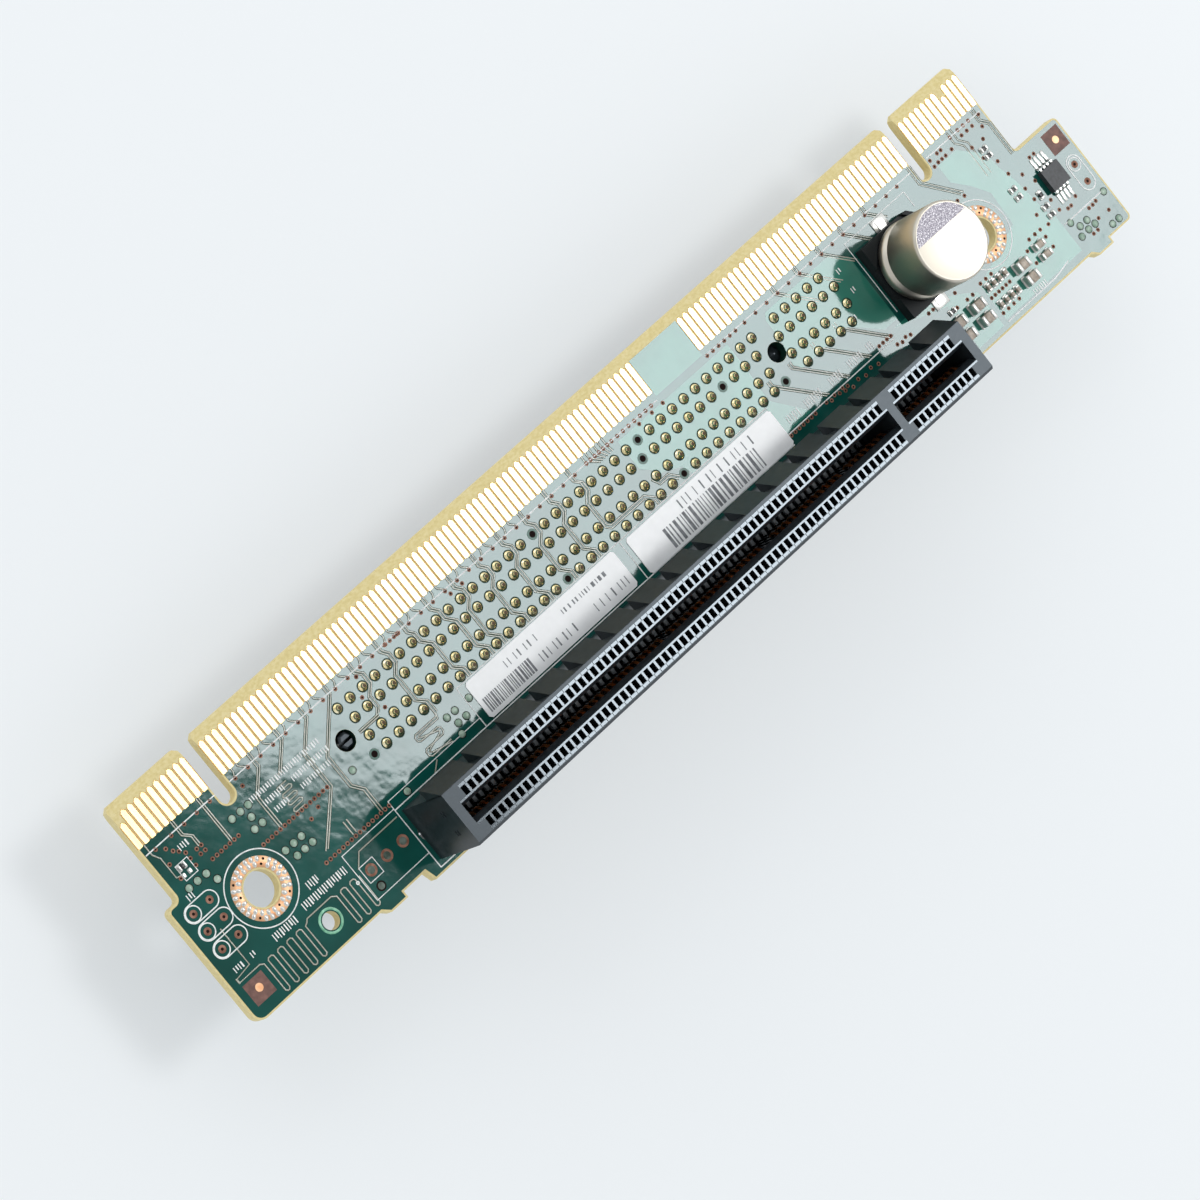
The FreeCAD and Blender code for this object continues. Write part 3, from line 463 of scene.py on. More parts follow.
# on the back face, one pair for every four fingers, except at three places along the row
back_tracks = [folded(125.0, 138.0, -15.0, -9.0, 1.46)]
for start in [16.4 + 4 * i for i in range(25) if i not in (17, 18, 19)]:
    back_tracks += pair([(start, 6.2), (start, 3.5), (start + 1.4, 2.1), (start + 1.4, -9.0)])

# Painted shade: a dark, matt green ribbon beside each track stands for the shade in the lacquer's
# dip, and stays dark where the field mirrors the lamp.
painted_shade_lacquer = grain(finish("green lacquer edge in shade", "#12342a", 0.6, Specular_IOR_Level=0.15),
                  0.7143, [(0.35, "#0f2c24"), (0.7, "#1c4236")])
# Copper track under solder mask: lighter than the field round it, and as glossy. Its pale grey is
# partly the copper showing through thin lacquer and partly a painted highlight of the lamp on the
# track's rounded shoulders.
track_tone_and_painted_highlight = mask_finish("copper track under mask, with painted highlight", "#9c9c8e", "#aeaea0", 0.14,
                           Specular_IOR_Level=0.5)
lay("track_edges", tracks, painted_shade_lacquer, "laminate", width=0.28, height=0.006, z=0.012)
lay("tracks_front", tracks, track_tone_and_painted_highlight, "laminate", width=0.16, height=0.01, z=0.016)
lay("tracks_back", back_tracks, track_tone_and_painted_highlight, "laminate", width=0.2, height=0.07,
    z=-THICKNESS / MM - 0.012)


# Plated holes and closed holes
# Small drilled holes whose copper barrels show brown through the thin lacquer on their rims, and
# larger ones that the lacquer closes with a low dome.

stamp, given = new_tree("stamp on places", ("Places", "Geometry"), ("Shape", "Object"),
                        ("Finish", "Material"))
shape = add(stamp, "GeometryNodeObjectInfo", {"Object": given["Shape"]})
extent, turn = [add(stamp, "GeometryNodeInputNamedAttribute", {"Name": field},
                    data_type="FLOAT_VECTOR") for field in ("extent", "turn")]
copies = add(stamp, "GeometryNodeInstanceOnPoints", {
    "Points": given["Places"], "Instance": shape.outputs["Geometry"],
    "Rotation": turn.outputs["Attribute"], "Scale": extent.outputs["Attribute"]})
end_tree(stamp, copies.outputs["Instances"], given["Finish"])


def stamped_mesh(name, bm, places, material, extents=None, turns=None):
    # one shape at many places, each with its extent along the axes and its turn
    master = set_down(name + "_master", as_mesh(name + "_shape", bm))
    count = len(places)
    mesh = grown(name, stamp, places, [], {"Shape": master, "Finish": material},
                 {"extent": extents or [(1, 1, 1)] * count, "turn": turns or [(0, 0, 0)] * count})
    bpy.data.objects.remove(master)
    return mesh


def stamped(name, bm, places, material, slot, *stands_for, extents=None, turns=None):
    mesh = stamped_mesh(name, bm, places, material, extents, turns)
    piece(name, mesh, material, slot, *stands_for)


def turned_shape(profile, sides, smooth=True):
    # a body of revolution about Z from (radius, height) pairs in millimetres
    bm = bmesh.new()
    rings = []
    for radius, height in profile:
        angles = [2 * math.pi * i / sides for i in range(sides if radius else 1)]
        rings.append([bm.verts.new((radius * MM * math.cos(a), radius * MM * math.sin(a),
                                    height * MM)) for a in angles])
    for low, high in zip(rings, rings[1:]):
        for i in range(sides):
            j = (i + 1) % sides
            corners = [low[i % len(low)], low[j % len(low)], high[j % len(high)],
                       high[i % len(high)]]
            unique = list(dict.fromkeys(corners))
            if len(unique) > 2:
                bm.faces.new(unique).smooth = smooth
    bmesh.ops.recalc_face_normals(bm, faces=bm.faces)
    return bm


FACE = 0.02
# Rows of holes: where the first one is, their pitch, how many, how far each second one steps back.
VIA_ROWS = [
    (5.55, 0.13, 0.67, 7, 0), (11.15, -2.45, 0.67, 16, 0), (15.5, -8.6, 0.67, 16, 0),
    (13.5, 5.05, 1.98, 29, 0), (37.4, 5.05, 0.7, 4, 0), (71.0, 5.15, 0.72, 7, 0),
    (76.3, 5.15, 0.98, 7, 0), (92.0, 5.15, 1.0, 6, 0), (98.6, 5.15, 1.98, 15, 0),
    (94.2, -8.4, 0.72, 7, 0), (100.6, -8.3, 0.72, 6, 0.25), (103.6, -8.8, 1.15, 6, 0.3),
    (110.9, -7.6, 0.7, 4, 0), (113.0, -8.9, 0.75, 4, 0.2), (127.2, -12.45, 0.68, 6, 0),
    (127.2, -10.25, 1.0, 3, 0), (127.2, -14.75, 1.0, 4, 0), (137.9, 5.35, 1.0, 3, 0),
    (137.9, 4.55, 1.0, 3, 0)]
VIAS = [(1.15, 5.05), (3.55, 5.05), (5.55, 5.05), (7.5, 5.05), (9.5, 5.05), (2.1, 4.35),
        (2.6, 3.65), (3.1, 3.2), (3.6, 2.6), (1.3, 2.8), (3.6, 1.8), (3.6, 0.85), (1.3, 0.85),
        (4.85, 2.1), (5.55, 2.1), (4.85, 1.4), (5.55, 1.4), (13.6, 3.9), (17.4, -3.9),
        (18.9, -3.4), (31.2, 2.35), (32.6, -0.15), (32.2, 4.5), (47.5, 4.4), (49.4, 4.4),
        (79.5, 4.5), (81.7, 4.5), (83.6, 4.5), (132.2, 4.8), (132.2, 3.9), (133.6, 4.9),
        (134.3, 4.9), (133.0, 4.0), (133.7, 4.0), (134.4, 4.0), (135.6, 4.1), (136.4, 5.3),
        (141.6, 5.1), (141.0, 3.7), (140.0, 2.5), (138.0, 2.6), (138.4, 0.75), (139.7, -0.7),
        (139.8, -2.7), (141.3, -3.9), (142.2, -5.5), (140.4, -5.4), (140.5, -7.1), (139.4, -8.7),
        (142.3, -8.5), (139.9, -10.5), (142.4, -10.1), (143.5, -10.7), (144.1, -10.7),
        (145.4, -10.2), (143.6, -2.95), (144.4, -2.95), (136.4, -10.3), (137.5, -10.3),
        (138.5, -10.3), (145.9, -12.4), (146.6, -12.4), (147.3, -12.3), (144.2, -15.1),
        (145.0, -15.1), (146.1, -14.1), (148.0, -14.2), (119.0, -8.7), (119.8, -8.7),
        (123.6, -9.0), (133.0, -1.1), (131.8, -1.0), (124.4, -10.6), (125.4, -10.6),
        (122.6, -10.5), (135.2, -11.2), (138.5, -11.4), (135.2, -13.0), (138.5, -12.9),
        (131.1, -10.9)]
VIAS += [(x + pitch * i, y - back * (i % 2)) for x, y, pitch, count, back in VIA_ROWS
         for i in range(count)]
CLOSED_HOLES = [
    (10.2, 1.95), (11.5, 1.95), (12.7, 1.95), (12.1, 0.7), (11.5, -0.55), (12.7, -0.55),
    (4.5, -1.85), (1.3, -0.55), (2.6, -0.55), (3.9, -0.6), (12.7, -4.55), (14.0, -4.55),
    (15.2, -4.55), (13.4, -5.85), (14.6, -5.85), (15.8, -5.85), (24.8, -2.95), (37.6, -5.7),
    (38.9, -5.7), (38.3, -7.0), (39.6, -7.0), (37.8, -8.2), (28.3, -8.8), (41.2, -5.7),
    (142.5, -12.2), (143.3, -13.3), (144.6, -13.3), (144.0, -14.3), (145.2, -14.3),
    (142.6, -14.4), (149.0, -12.1), (147.2, -15.8), (148.4, -15.8)]

# Oxidised copper under a thin film of mask: brown, uneven and dull.
copper_brown = grain(finish("oxidised copper under thin mask", "#926a5a", 0.45,
                            Specular_IOR_Level=0.08), 0.6667,
                     [(0.35, "#7e5646"), (0.7, "#a87e6c")])
# Painted shade: a drilled hole swallows the light, so flat discs and rings of nearly black, rough
# colour stand for the shade in holes and round the closed domes.
painted_hole_shade = grain(finish("drilled hole, unlit", "#1c100d", 0.8, Specular_IOR_Level=0.1), 0.6667,
                depth=0.3, step=0.05)
# Thin lacquer over the solder in a hole: a pale grey-green, with the solder's brightness behind it.
thin_lacquer = grain(finish("thin lacquer over solder", "#93ad9a", 0.3), 0.5556,
                     [(0.35, "#7f9c88"), (0.7, "#b4c6b6")])

# The plated rim is a low ring round a bore of painted shade.
rim_shape = turned_shape([(0.12, 0.0), (0.14, 0.03), (0.21, 0.03), (0.27, 0.0)], 12)
bore_shape = turned_shape([(0.15, 0.0), (0.0, 0.012)], 8)
stamped("plated_hole_rims", rim_shape, spots(VIAS, FACE), copper_brown, "contact_metal")
stamped("plated_hole_bores", bore_shape, spots(VIAS, FACE), painted_hole_shade, "laminate")
dome_shape = turned_shape([(0.44, 0.0), (0.41, 0.06), (0.33, 0.12), (0.2, 0.155), (0.0, 0.165)], 14)
stamped("closed_hole_domes", dome_shape, spots(CLOSED_HOLES, FACE), thin_lacquer, "laminate")
# a thin ring of painted shade round each dome's foot
stamped("closed_hole_rims", turned_shape([(0.52, 0.0), (0.42, 0.006)], 14, False),
        spots(CLOSED_HOLES, FACE), painted_hole_shade, "laminate")


# Edge connector
# A row of fingers, hard gold over nickel and copper, on each face. Each has a pointed front end,
# and the presence-detect fingers are shorter.

# Hard gold, brushed along the fingers by the cards' own travel: warm, bright and faintly streaked.
hard_gold = grain(finish("hard gold plating", "#f5dca4", 0.3, 1.0), 2.0,
                  [(0.3, "#f2d292"), (0.7, "#f8e2b2")], gloss=(0.26, 0.36), detail=3.0,
                  stretch=(3.0, 0.3, 1.0))
# The copper under the plating shows as an orange-brown line along each side.
copper_foot = grain(finish("etched copper below the plating", "#c48a48", 0.5,
                           Specular_IOR_Level=0.25), 0.6667,
                    [(0.35, "#be8340"), (0.7, "#d8a25e")])

FINGER_GROWTH = 0.01 * MM
FINGER_POINT = 0.3 * MM
FINGER_SHOULDER = 0.1 * MM
FINGER_TIP = 0.25
CREST_WIDTH = 0.88
CREST_SET_BACK = 0.05 * MM
SHORT_BY = 0.1 * MM
FOOT_SHOWS = 0.08 * MM
FOOT_LIFT = 0.012 * MM
FOOT_POINT = 0.06 * MM


def finger_shape(low, high, below):
    # a flat strip with a pointed front end and slightly sunk edges
    half, length = (high.x - low.x) / 2 + FINGER_GROWTH, high.y - low.y
    inner, neck, tip = half - FINGER_SHOULDER, length - FINGER_POINT, half * FINGER_TIP
    outline = [(-half, 0), (-inner, -FINGER_SHOULDER), (inner, -FINGER_SHOULDER), (half, 0),
               (half, neck), (tip, length), (-tip, length), (-half, neck)]
    rise = (high.z - low.z) * (-1 if below else 1)
    bm = bmesh.new()
    foot = [bm.verts.new((x, y, 0)) for x, y in outline]
    shorter = 1 - 2 * CREST_SET_BACK / length
    crest = [bm.verts.new((x * CREST_WIDTH, CREST_SET_BACK + y * shorter, rise))
             for x, y in outline]
    bm.faces.new(crest)
    for i in range(len(outline)):
        j = (i + 1) % len(outline)
        bm.faces.new((foot[i], foot[j], crest[j], crest[i]))
    bmesh.ops.recalc_face_normals(bm, faces=bm.faces)
    return bm


def joined(parts, move=Matrix()):
    # several shapes or meshes as one, carried to their place
    bm = bmesh.new()
    for part in parts:
        bm.from_mesh(part if isinstance(part, bpy.types.Mesh) else as_mesh("part", part))
    bmesh.ops.transform(bm, matrix=move, verts=bm.verts)
    return bm


def fingers(name, boxes, below, node):
    # long and short ones are stamped from their own shapes, then joined
    longest = max(high.y - low.y for low, high in boxes)
    parts = []
    for is_long in (True, False):
        group = [box for box in boxes if (box[1].y - box[0].y > longest - SHORT_BY) == is_long]
        if group:
            places = [(middle(box).x, box[0].y, -THICKNESS if below else 0.0) for box in group]
            parts.append(stamped_mesh(name, finger_shape(*group[0], below), places, hard_gold))
    piece(name, joined(parts), hard_gold, "hard_gold", node)


feet = []
for boxes, z in ((FINGERS_FRONT, FOOT_LIFT), (FINGERS_BACK, -THICKNESS - FOOT_LIFT)):
    for low, high in boxes:
        left, right, neck = low.x - FOOT_SHOWS, high.x + FOOT_SHOWS, high.y - FINGER_POINT
        feet.append([(left, low.y, z), (right, low.y, z), (right, neck, z),
                     ((low.x + high.x) / 2, high.y + FOOT_POINT, z), (left, neck, z)])
sheets("finger_copper", feet, copper_foot, "contact_metal")
fingers("edge_fingers_front", FINGERS_FRONT, False, "gold_fingers_front")
fingers("edge_fingers_back", FINGERS_BACK, True, "gold_fingers_back")


# Mounting rings
# Bare copper round each mounting hole, with two circles of solder bumps and a few plated holes
# that tie it to the ground planes.

RING_INNER, RING_OUTER = 2.42, 3.55
RING_HEIGHT, RING_LIFT, BUMP_LIFT = 0.035, 0.012, 0.045
BUMP_STRETCH = (1.5, 1.1, 1.0)
BUMP_ROWS = ((RING_INNER + 0.27, 22, 0.0), (RING_OUTER - 0.27, 28, 0.5))
HOLE_X = [m["pos_m"][0] for m in frame["record"]["mounts"] if m["kind"] == "bore"]

# Bare copper: orange-pink, with faint stains of oxide 1.4 mm across.
ring_copper = grain(finish("bare copper, lightly oxidised", "#e8b48a", 0.4, 0.5), 1.4286,
                    [(0.35, "#dba074"), (0.7, "#f2c8a0")], detail=4.0)
# Reflowed solder: a bright grey metal, set in faint ripples.
bright_solder = grain(finish("bright reflowed solder", "#dcdcd8", 0.3, 0.85), 0.8333,
                      depth=0.25, step=0.06)

bump_places, bump_turns, plated_places = [], [], []
for hole_x in HOLE_X:
    for radius, count, shift in BUMP_ROWS:
        for i in range(count):
            angle = 2 * math.pi * (i + shift) / count
            place = Vector((hole_x + radius * MM * math.cos(angle),
                            radius * MM * math.sin(angle), BUMP_LIFT * MM))
            if i % 7 == 3:
                plated_places.append(place)
            else:
                bump_places.append(place)
                bump_turns.append((0, 0, angle))
ring = turned_shape([(RING_INNER - 0.1, 0.0), (RING_INNER, RING_HEIGHT),
                     (RING_OUTER, RING_HEIGHT), (RING_OUTER + 0.06, 0.0)], 72)
stamped("mounting_ring_copper", ring, [(x, 0, RING_LIFT * MM) for x in HOLE_X], ring_copper,
        "contact_metal")
bump = turned_shape([(0.24, 0.0), (0.2, 0.08), (0.11, 0.125), (0.0, 0.14)], 10)
stamped("mounting_ring_bumps", bump, bump_places, bright_solder, "tinned_metal",
        extents=[BUMP_STRETCH] * len(bump_places), turns=bump_turns)
# the plated holes in the ring get bores of painted shade
stamped("mounting_ring_bores", turned_shape([(0.2, 0.0), (0.0, 0.01)], 10), plated_places, painted_hole_shade,
        "laminate")


# Silkscreen
# White epoxy ink, printed through a mesh: the line that ends the connector field, component
# outlines, rings round the holes and the test pads, and short rows of plain strokes.

def arc(x, y, radius, sides, first=0.0, step=0.0):
    # points on a circle, from an angle in degrees and by a step, or all the way round
    step = step or 360 / sides
    angles = [math.radians(first + step * i) for i in range(sides + 1)]
    return [(x + radius * math.cos(a), y + radius * math.sin(a)) for a in angles]


def circle_path(x, y, radius, sides=48):
    points = arc(x, y, radius, sides)
    return points[:-1] + points[:1]


def box_path(x0, y0, x1, y1):
    return [(x0, y0), (x1, y0), (x1, y1), (x0, y1), (x0, y0)]


def stadium(x0, x1, y, radius):
    ends = arc(x1, y, radius, 12, -90, 15) + arc(x0, y, radius, 12, 90, 15)
    return ends + ends[:1]


def rectangle(x0, x1, y0, y1, z):
    return spots([(x0, y0), (x1, y0), (x1, y1), (x0, y1)], z)


ink_lines = [
    [(-0.2, 5.2), (10.4, 5.2)], [(12.7, 5.2), (83.2, 5.2)], [(91.7, 5.3), (129.0, 5.3)],
    [(132.0, 5.3), (142.0, 5.3)], box_path(17.35, -15.5, 25.68, -9.24),
    box_path(18.0, -13.6, 20.1, -11.5), box_path(1.6, 0.25, 3.4, 2.2),
    [(25.7, -17.6), (25.7, -8.2), (40.7, -8.2), (40.7, -4.0), (93.8, -4.0)],
    [(25.7, -9.45), (93.8, -9.45)], [(40.7, -9.45), (40.7, -8.2)], [(25.7, -17.6), (28.0, -17.6)],
    [(68.0, -4.2), (68.0, -9.4)], [(93.8, -8.1), (113.2, -8.1)],
    [(115.73, -6.0), (115.73, 4.15), (126.6, 4.15), (126.6, 2.0)],
    circle_path(7.75, -5.85, 4.37, 96), circle_path(131.4, -5.88, 4.3, 96),
    circle_path(148.1, -7.25, 0.85), circle_path(16.85, -12.6, 0.16, 12),
    turned(stadium(-1.35, 1.35, 0, 1.08), 148.1, -8.5),
    [(141.7, -11.9), (149.2, -11.9)], [(127.0, -15.9), (136.0, -15.9), (139.0, -15.4)]]
TEST_PAD_ROWS = (-2.94, -5.38, -7.88)
for y in TEST_PAD_ROWS:
    ink_lines += [stadium(-0.2, 2.3, y, 1.05), circle_path(-0.2, y, 0.92, 32)]

# White ink, a little thin where the mesh's threads, 0.56 mm apart, held it back.
white_ink = grain(finish("white epoxy ink", "#f2f4f2", 0.5), 0.5556,
                  [(0.3, "#d9dedb"), (0.6, "#f7f8f6")])
lay("silkscreen_lines", ink_lines, white_ink, "label_paper", width=0.15, height=0.03, z=0.03)

# Rows of plain strokes: x from, x to, y from, y to.
STROKE_PITCH, STROKE_LIFT = 0.36, 0.04
STROKE_ROWS = [
    (5.2, 8.8, -11.35, -10.4), (10.1, 17.2, -11.0, -10.05), (12.0, 13.9, -9.6, -8.65),
    (13.2, 24.2, 1.75, 2.45), (14.2, 17.6, 0.45, 1.15), (18.6, 24.4, 0.45, 1.15),
    (14.8, 17.2, -0.85, -0.2), (18.9, 23.9, -0.85, -0.2), (3.3, 5.0, 3.05, 3.8),
    (-0.7, 0.9, -10.9, -10.2), (1.9, 2.9, -10.9, -10.2), (0.4, 1.7, -1.7, -0.9),
    (112.6, 113.4, 1.9, 2.6), (112.6, 113.4, -0.9, -0.2), (110.4, 111.4, -3.4, -2.8),
    (95.0, 97.4, -7.4, -6.3), (98.2, 101.2, -7.4, -6.3), (102.6, 105.0, -7.4, -6.3),
    (106.0, 108.6, -7.4, -6.3), (109.4, 110.6, -7.4, -6.3), (132.4, 135.2, -15.8, -15.1)]
bars = []
for x0, x1, y0, y1 in STROKE_ROWS:
    for i in range(int((x1 - x0) / STROKE_PITCH)):
        x, width = x0 + STROKE_PITCH * i, (0.12, 0.16, 0.12, 0.2)[i % 4]
        low = y0 + (0.0, 0.2, 0.0)[i % 3] * (y1 - y0)
        bars.append(rectangle(x, x + width, low, y1, STROKE_LIFT))
sheets("silkscreen_bars", bars, white_ink, "label_paper")


# Test pads, header pads and alignment marks
# Flat copper pads left open in the lacquer. The header was never fitted, so a skin of lacquer
# closes its holes.

def disc(radius, sides=20):
    return turned_shape([(radius, 0.0), (radius - 0.03, 0.02), (0.0, 0.02)], sides, False)


TEST_PADS = [(x, y) for y in TEST_PAD_ROWS for x in (-0.2, 2.3)]
TEST_PADS += [(148.1, -7.25), (148.1, -9.85)]
HEADER = [(19.06 + 2.54 * i, -12.53) for i in range(3)]
PILOT_HOLE = [(18.8, -14.6)]
MARKS = ((-1.2, 1.7, -15.2, -12.4), (146.6, 149.5, -4.95, -2.0))
MARK_DOTS = [(0.3, -13.7), (148.1, -3.45)]
ABOVE = FACE + 0.01

# Bare laminate with a brown bloom of oxide: dark and dull round each mark's bright dot.
mark_ground = grain(finish("bare laminate window, brown oxide", "#6e4a40", 0.5), 0.7143,
                    [(0.35, "#5f3e36"), (0.7, "#7f574c")])
# Lacquer stretched over a hole: grey-green, darker than over solid board.
closed_bore = grain(finish("lacquer skin over a hole", "#5d6a5e", 0.5, Specular_IOR_Level=0.2),
                    0.7692, [(0.35, "#46544a"), (0.7, "#77837a")])

# The test pads' bores and the pilot hole's rim are painted shade.
for name, radius, sides, places, z, material, slot in (
        ("test_pads", 0.47, 20, TEST_PADS, FACE, copper_brown, "contact_metal"),
        ("test_pad_bores", 0.2, 12, TEST_PADS, ABOVE, painted_hole_shade, "laminate"),
        ("header_pads", 0.75, 28, HEADER, FACE, copper_brown, "contact_metal"),
        ("header_bores", 0.48, 24, HEADER, ABOVE, closed_bore, "laminate"),
        ("pilot_hole_rim", 0.6, 24, PILOT_HOLE, FACE, painted_hole_shade, "laminate"),
        ("pilot_hole_skin", 0.44, 24, PILOT_HOLE, ABOVE, closed_bore, "laminate"),
        ("alignment_dots", 0.5, 20, MARK_DOTS, ABOVE, ring_copper, "contact_metal")):
    stamped(name, disc(radius, sides), spots(places, z), material, slot)
sheets("alignment_windows", [rectangle(*mark, FACE) for mark in MARKS], mark_ground, "laminate")


# Card slots
# Black glass-filled housings, moulded in one piece. Each contact has its own cell between two
# ribs, open to the slot and, through a window, to the top. Sloped cheeks stiffen one long side.

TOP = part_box("front_slot_housing")[1].z / MM
SPRINGS = {which: loose_boxes(which + "_slot_contacts") for which in ("front", "rear")}
HALF_WIDTH = 3.5
RIB_HALF, STEP_HALF, BAR_HALF, TIP_HALF = 0.15, 0.46, 0.22, 0.07
SLOT_FLOOR, WELL_FLOOR = TOP - 7.6, TOP - 8.8
SLOT_HALF, MOUTH_HALF, MOUTH_DROP = 0.85, 1.33, 1.0
WINDOW_NEAR, WINDOW_FAR = 1.6, 2.66
RIM_CHAMFER, RIM_BREAK = 0.35, 0.05
CHEEK_REACH, CHEEK_FLOOR = 1.42, 7.1
CHEEK_GAP, CHEEK_PITCH, CHEEK_SHIFT, CHEEK_GAPS = 1.3, 5.5, 0.45, 15
END_LEFT, END_RIGHT = -74.17, 14.17
SLOT_LEFT, SLOT_RIGHT = -72.95, 12.95
KEY_HALF = 0.575
# solid stretches of the moulding, beyond the outermost contacts and between their two groups
SOLID = ((SLOT_LEFT, -71.85), (-1.15, 1.15), (11.85, SLOT_RIGHT))
PEG_SIZE, PEG_CUT, PEG_PLACES = 1.0, 0.25, (0.0, -73.15)
# where contacts can stand along a slot, measured from its key, and the ribs between them
COLUMNS = [i - 71.5 for i in range(71)] + [i + 1.5 for i in range(11)]
BETWEEN = [x + 0.5 for x in COLUMNS if x + 1 in COLUMNS]


def slab(y0, y1, z0, z1):
    return [(y0, z0), (y1, z0), (y1, z1), (y0, z1)]


# Sections across the housing, as (y, z) in millimetres.
RIB_SECTION = [(0.0, WELL_FLOOR), (WINDOW_FAR, WELL_FLOOR), (WINDOW_FAR, TOP),
               (WINDOW_NEAR, TOP), (WINDOW_NEAR, TOP - 0.59), (SLOT_HALF + 0.01, TOP - 1.44),
               (SLOT_HALF + 0.01, SLOT_FLOOR), (0.0, SLOT_FLOOR)]
LIP_SECTION = [(SLOT_HALF, TOP - MOUTH_DROP), (MOUTH_HALF, TOP), (WINDOW_NEAR, TOP),
               (WINDOW_NEAR, TOP - 0.6), (SLOT_HALF, TOP - 1.45)]
LIP_CREST = [(MOUTH_HALF + 0.02, TOP - 0.01), (MOUTH_HALF + 0.04, TOP + 0.01),
             (WINDOW_NEAR - 0.02, TOP + 0.01), (WINDOW_NEAR, TOP - 0.01)]
STEP_SECTION = [(2.68, TOP - 0.01), (3.08, TOP - 0.01), (3.05, TOP + 0.02), (2.71, TOP + 0.02)]
TIP_SECTION = [(1.54, 10.15), (1.68, 10.15), (1.8, 10.5), (1.68, 10.54)]
SHARP_WALL = [(WINDOW_FAR, 0.0), (HALF_WIDTH, 0.0), (HALF_WIDTH, TOP - RIM_BREAK),
              (HALF_WIDTH - RIM_BREAK, TOP), (WINDOW_FAR, TOP)]
CUT_WALL = [(-WINDOW_FAR, 0.0), (-HALF_WIDTH, 0.0), (-HALF_WIDTH, TOP - RIM_CHAMFER),
            (RIM_CHAMFER - HALF_WIDTH, TOP), (-WINDOW_FAR, TOP)]
CHEEK_SECTION = [(HALF_WIDTH - 0.1, CHEEK_FLOOR), (HALF_WIDTH + CHEEK_REACH, CHEEK_FLOOR),
                 (HALF_WIDTH, TOP - 0.1), (HALF_WIDTH - 0.1, TOP - 0.1)]
END_BLOCK = slab(-WINDOW_FAR, WINDOW_FAR, WELL_FLOOR, TOP)
FLOOR_BAR = slab(-SLOT_HALF, SLOT_HALF, SLOT_FLOOR - 0.4, SLOT_FLOOR + 0.02)
# the two small raised marks on the left end wall, each three strokes: across, tall, height
MARK_STROKES = ((0.7, 0.12, 8.53), (0.7, 0.12, 7.97), (0.14, 0.5, 8.25))


def mirrored(section, side):
    return [(side * y, z) for y, z in section]


def moulded(runs):
    # sections drawn out along X, each between two places in millimetres
    bm = bmesh.new()
    for section, x0, x1 in runs:
        a, b = [[bm.verts.new((x * MM, y * MM, z * MM)) for y, z in section] for x in (x0, x1)]
        bm.faces.new(a)
        bm.faces.new(b[::-1])
        for i in range(len(section)):
            j = (i + 1) % len(section)
            bm.faces.new((a[j], a[i], b[i], b[j]))
    bmesh.ops.recalc_face_normals(bm, faces=bm.faces)
    return bm


def stretch_of(section, half):
    # one short stretch of a section, across its own middle
    return moulded([(section, -half, half)])


def along(xs):
    return [(x * MM, 0, 0) for x in xs]


def slot_frame(which):
    # where a housing stands: its key over the gap in its contacts, the rear one upside down
    xs = sorted({round(middle(box).x / MM, 3) for box in SPRINGS[which]})
    key_x = sum(max(zip(xs, xs[1:]), key=lambda two: two[1] - two[0])) / 2
    move = Matrix.Translation((key_x * MM, middle(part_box(which + "_slot_contacts")).y,
                               0.0 if which == "front" else -THICKNESS))
    return move if which == "front" else move @ Matrix.Rotation(math.pi, 4, "X")


SLOTS = {which: slot_frame(which) for which in SPRINGS}


def contact_places(which):
    # where the contacts stand, in their own slot's frame
    inverse = SLOTS[which].inverted()
    return [inverse @ middle(box) for box in SPRINGS[which]]


def housing_body():
    runs = [(SHARP_WALL, END_LEFT, END_RIGHT), (CUT_WALL, END_LEFT, END_RIGHT),
            (slab(-WINDOW_FAR, WINDOW_FAR, 0.0, WELL_FLOOR), END_LEFT, END_RIGHT),
            (slab(-0.1, 0.1, WELL_FLOOR, SLOT_FLOOR), SLOT_LEFT, SLOT_RIGHT),
            (END_BLOCK, END_LEFT, SLOT_LEFT), (END_BLOCK, SLOT_RIGHT, END_RIGHT),
            (slab(-WINDOW_NEAR, WINDOW_NEAR, SLOT_FLOOR, TOP), -KEY_HALF, KEY_HALF)]
    runs += [(mirrored(RIB_SECTION, side), x0, x1) for side in (-1, 1) for x0, x1 in SOLID]
    runs += [(slab(y - across / 2, y + across / 2, z - tall / 2, z + tall / 2),
              END_LEFT - 0.06, END_LEFT + 0.1)
             for y in (-1.3, 1.3) for across, tall, z in MARK_STROKES]
    centre = (END_LEFT + END_RIGHT) / 2 + CHEEK_SHIFT
    gaps = [centre + CHEEK_PITCH * (i - CHEEK_GAPS // 2) for i in range(CHEEK_GAPS)]
    starts = [END_LEFT] + [gap + CHEEK_GAP / 2 for gap in gaps]
    ends = [gap - CHEEK_GAP / 2 for gap in gaps] + [END_RIGHT]
    runs += [(CHEEK_SECTION, x0, x1) for x0, x1 in zip(starts, ends)]
    return moulded(runs)


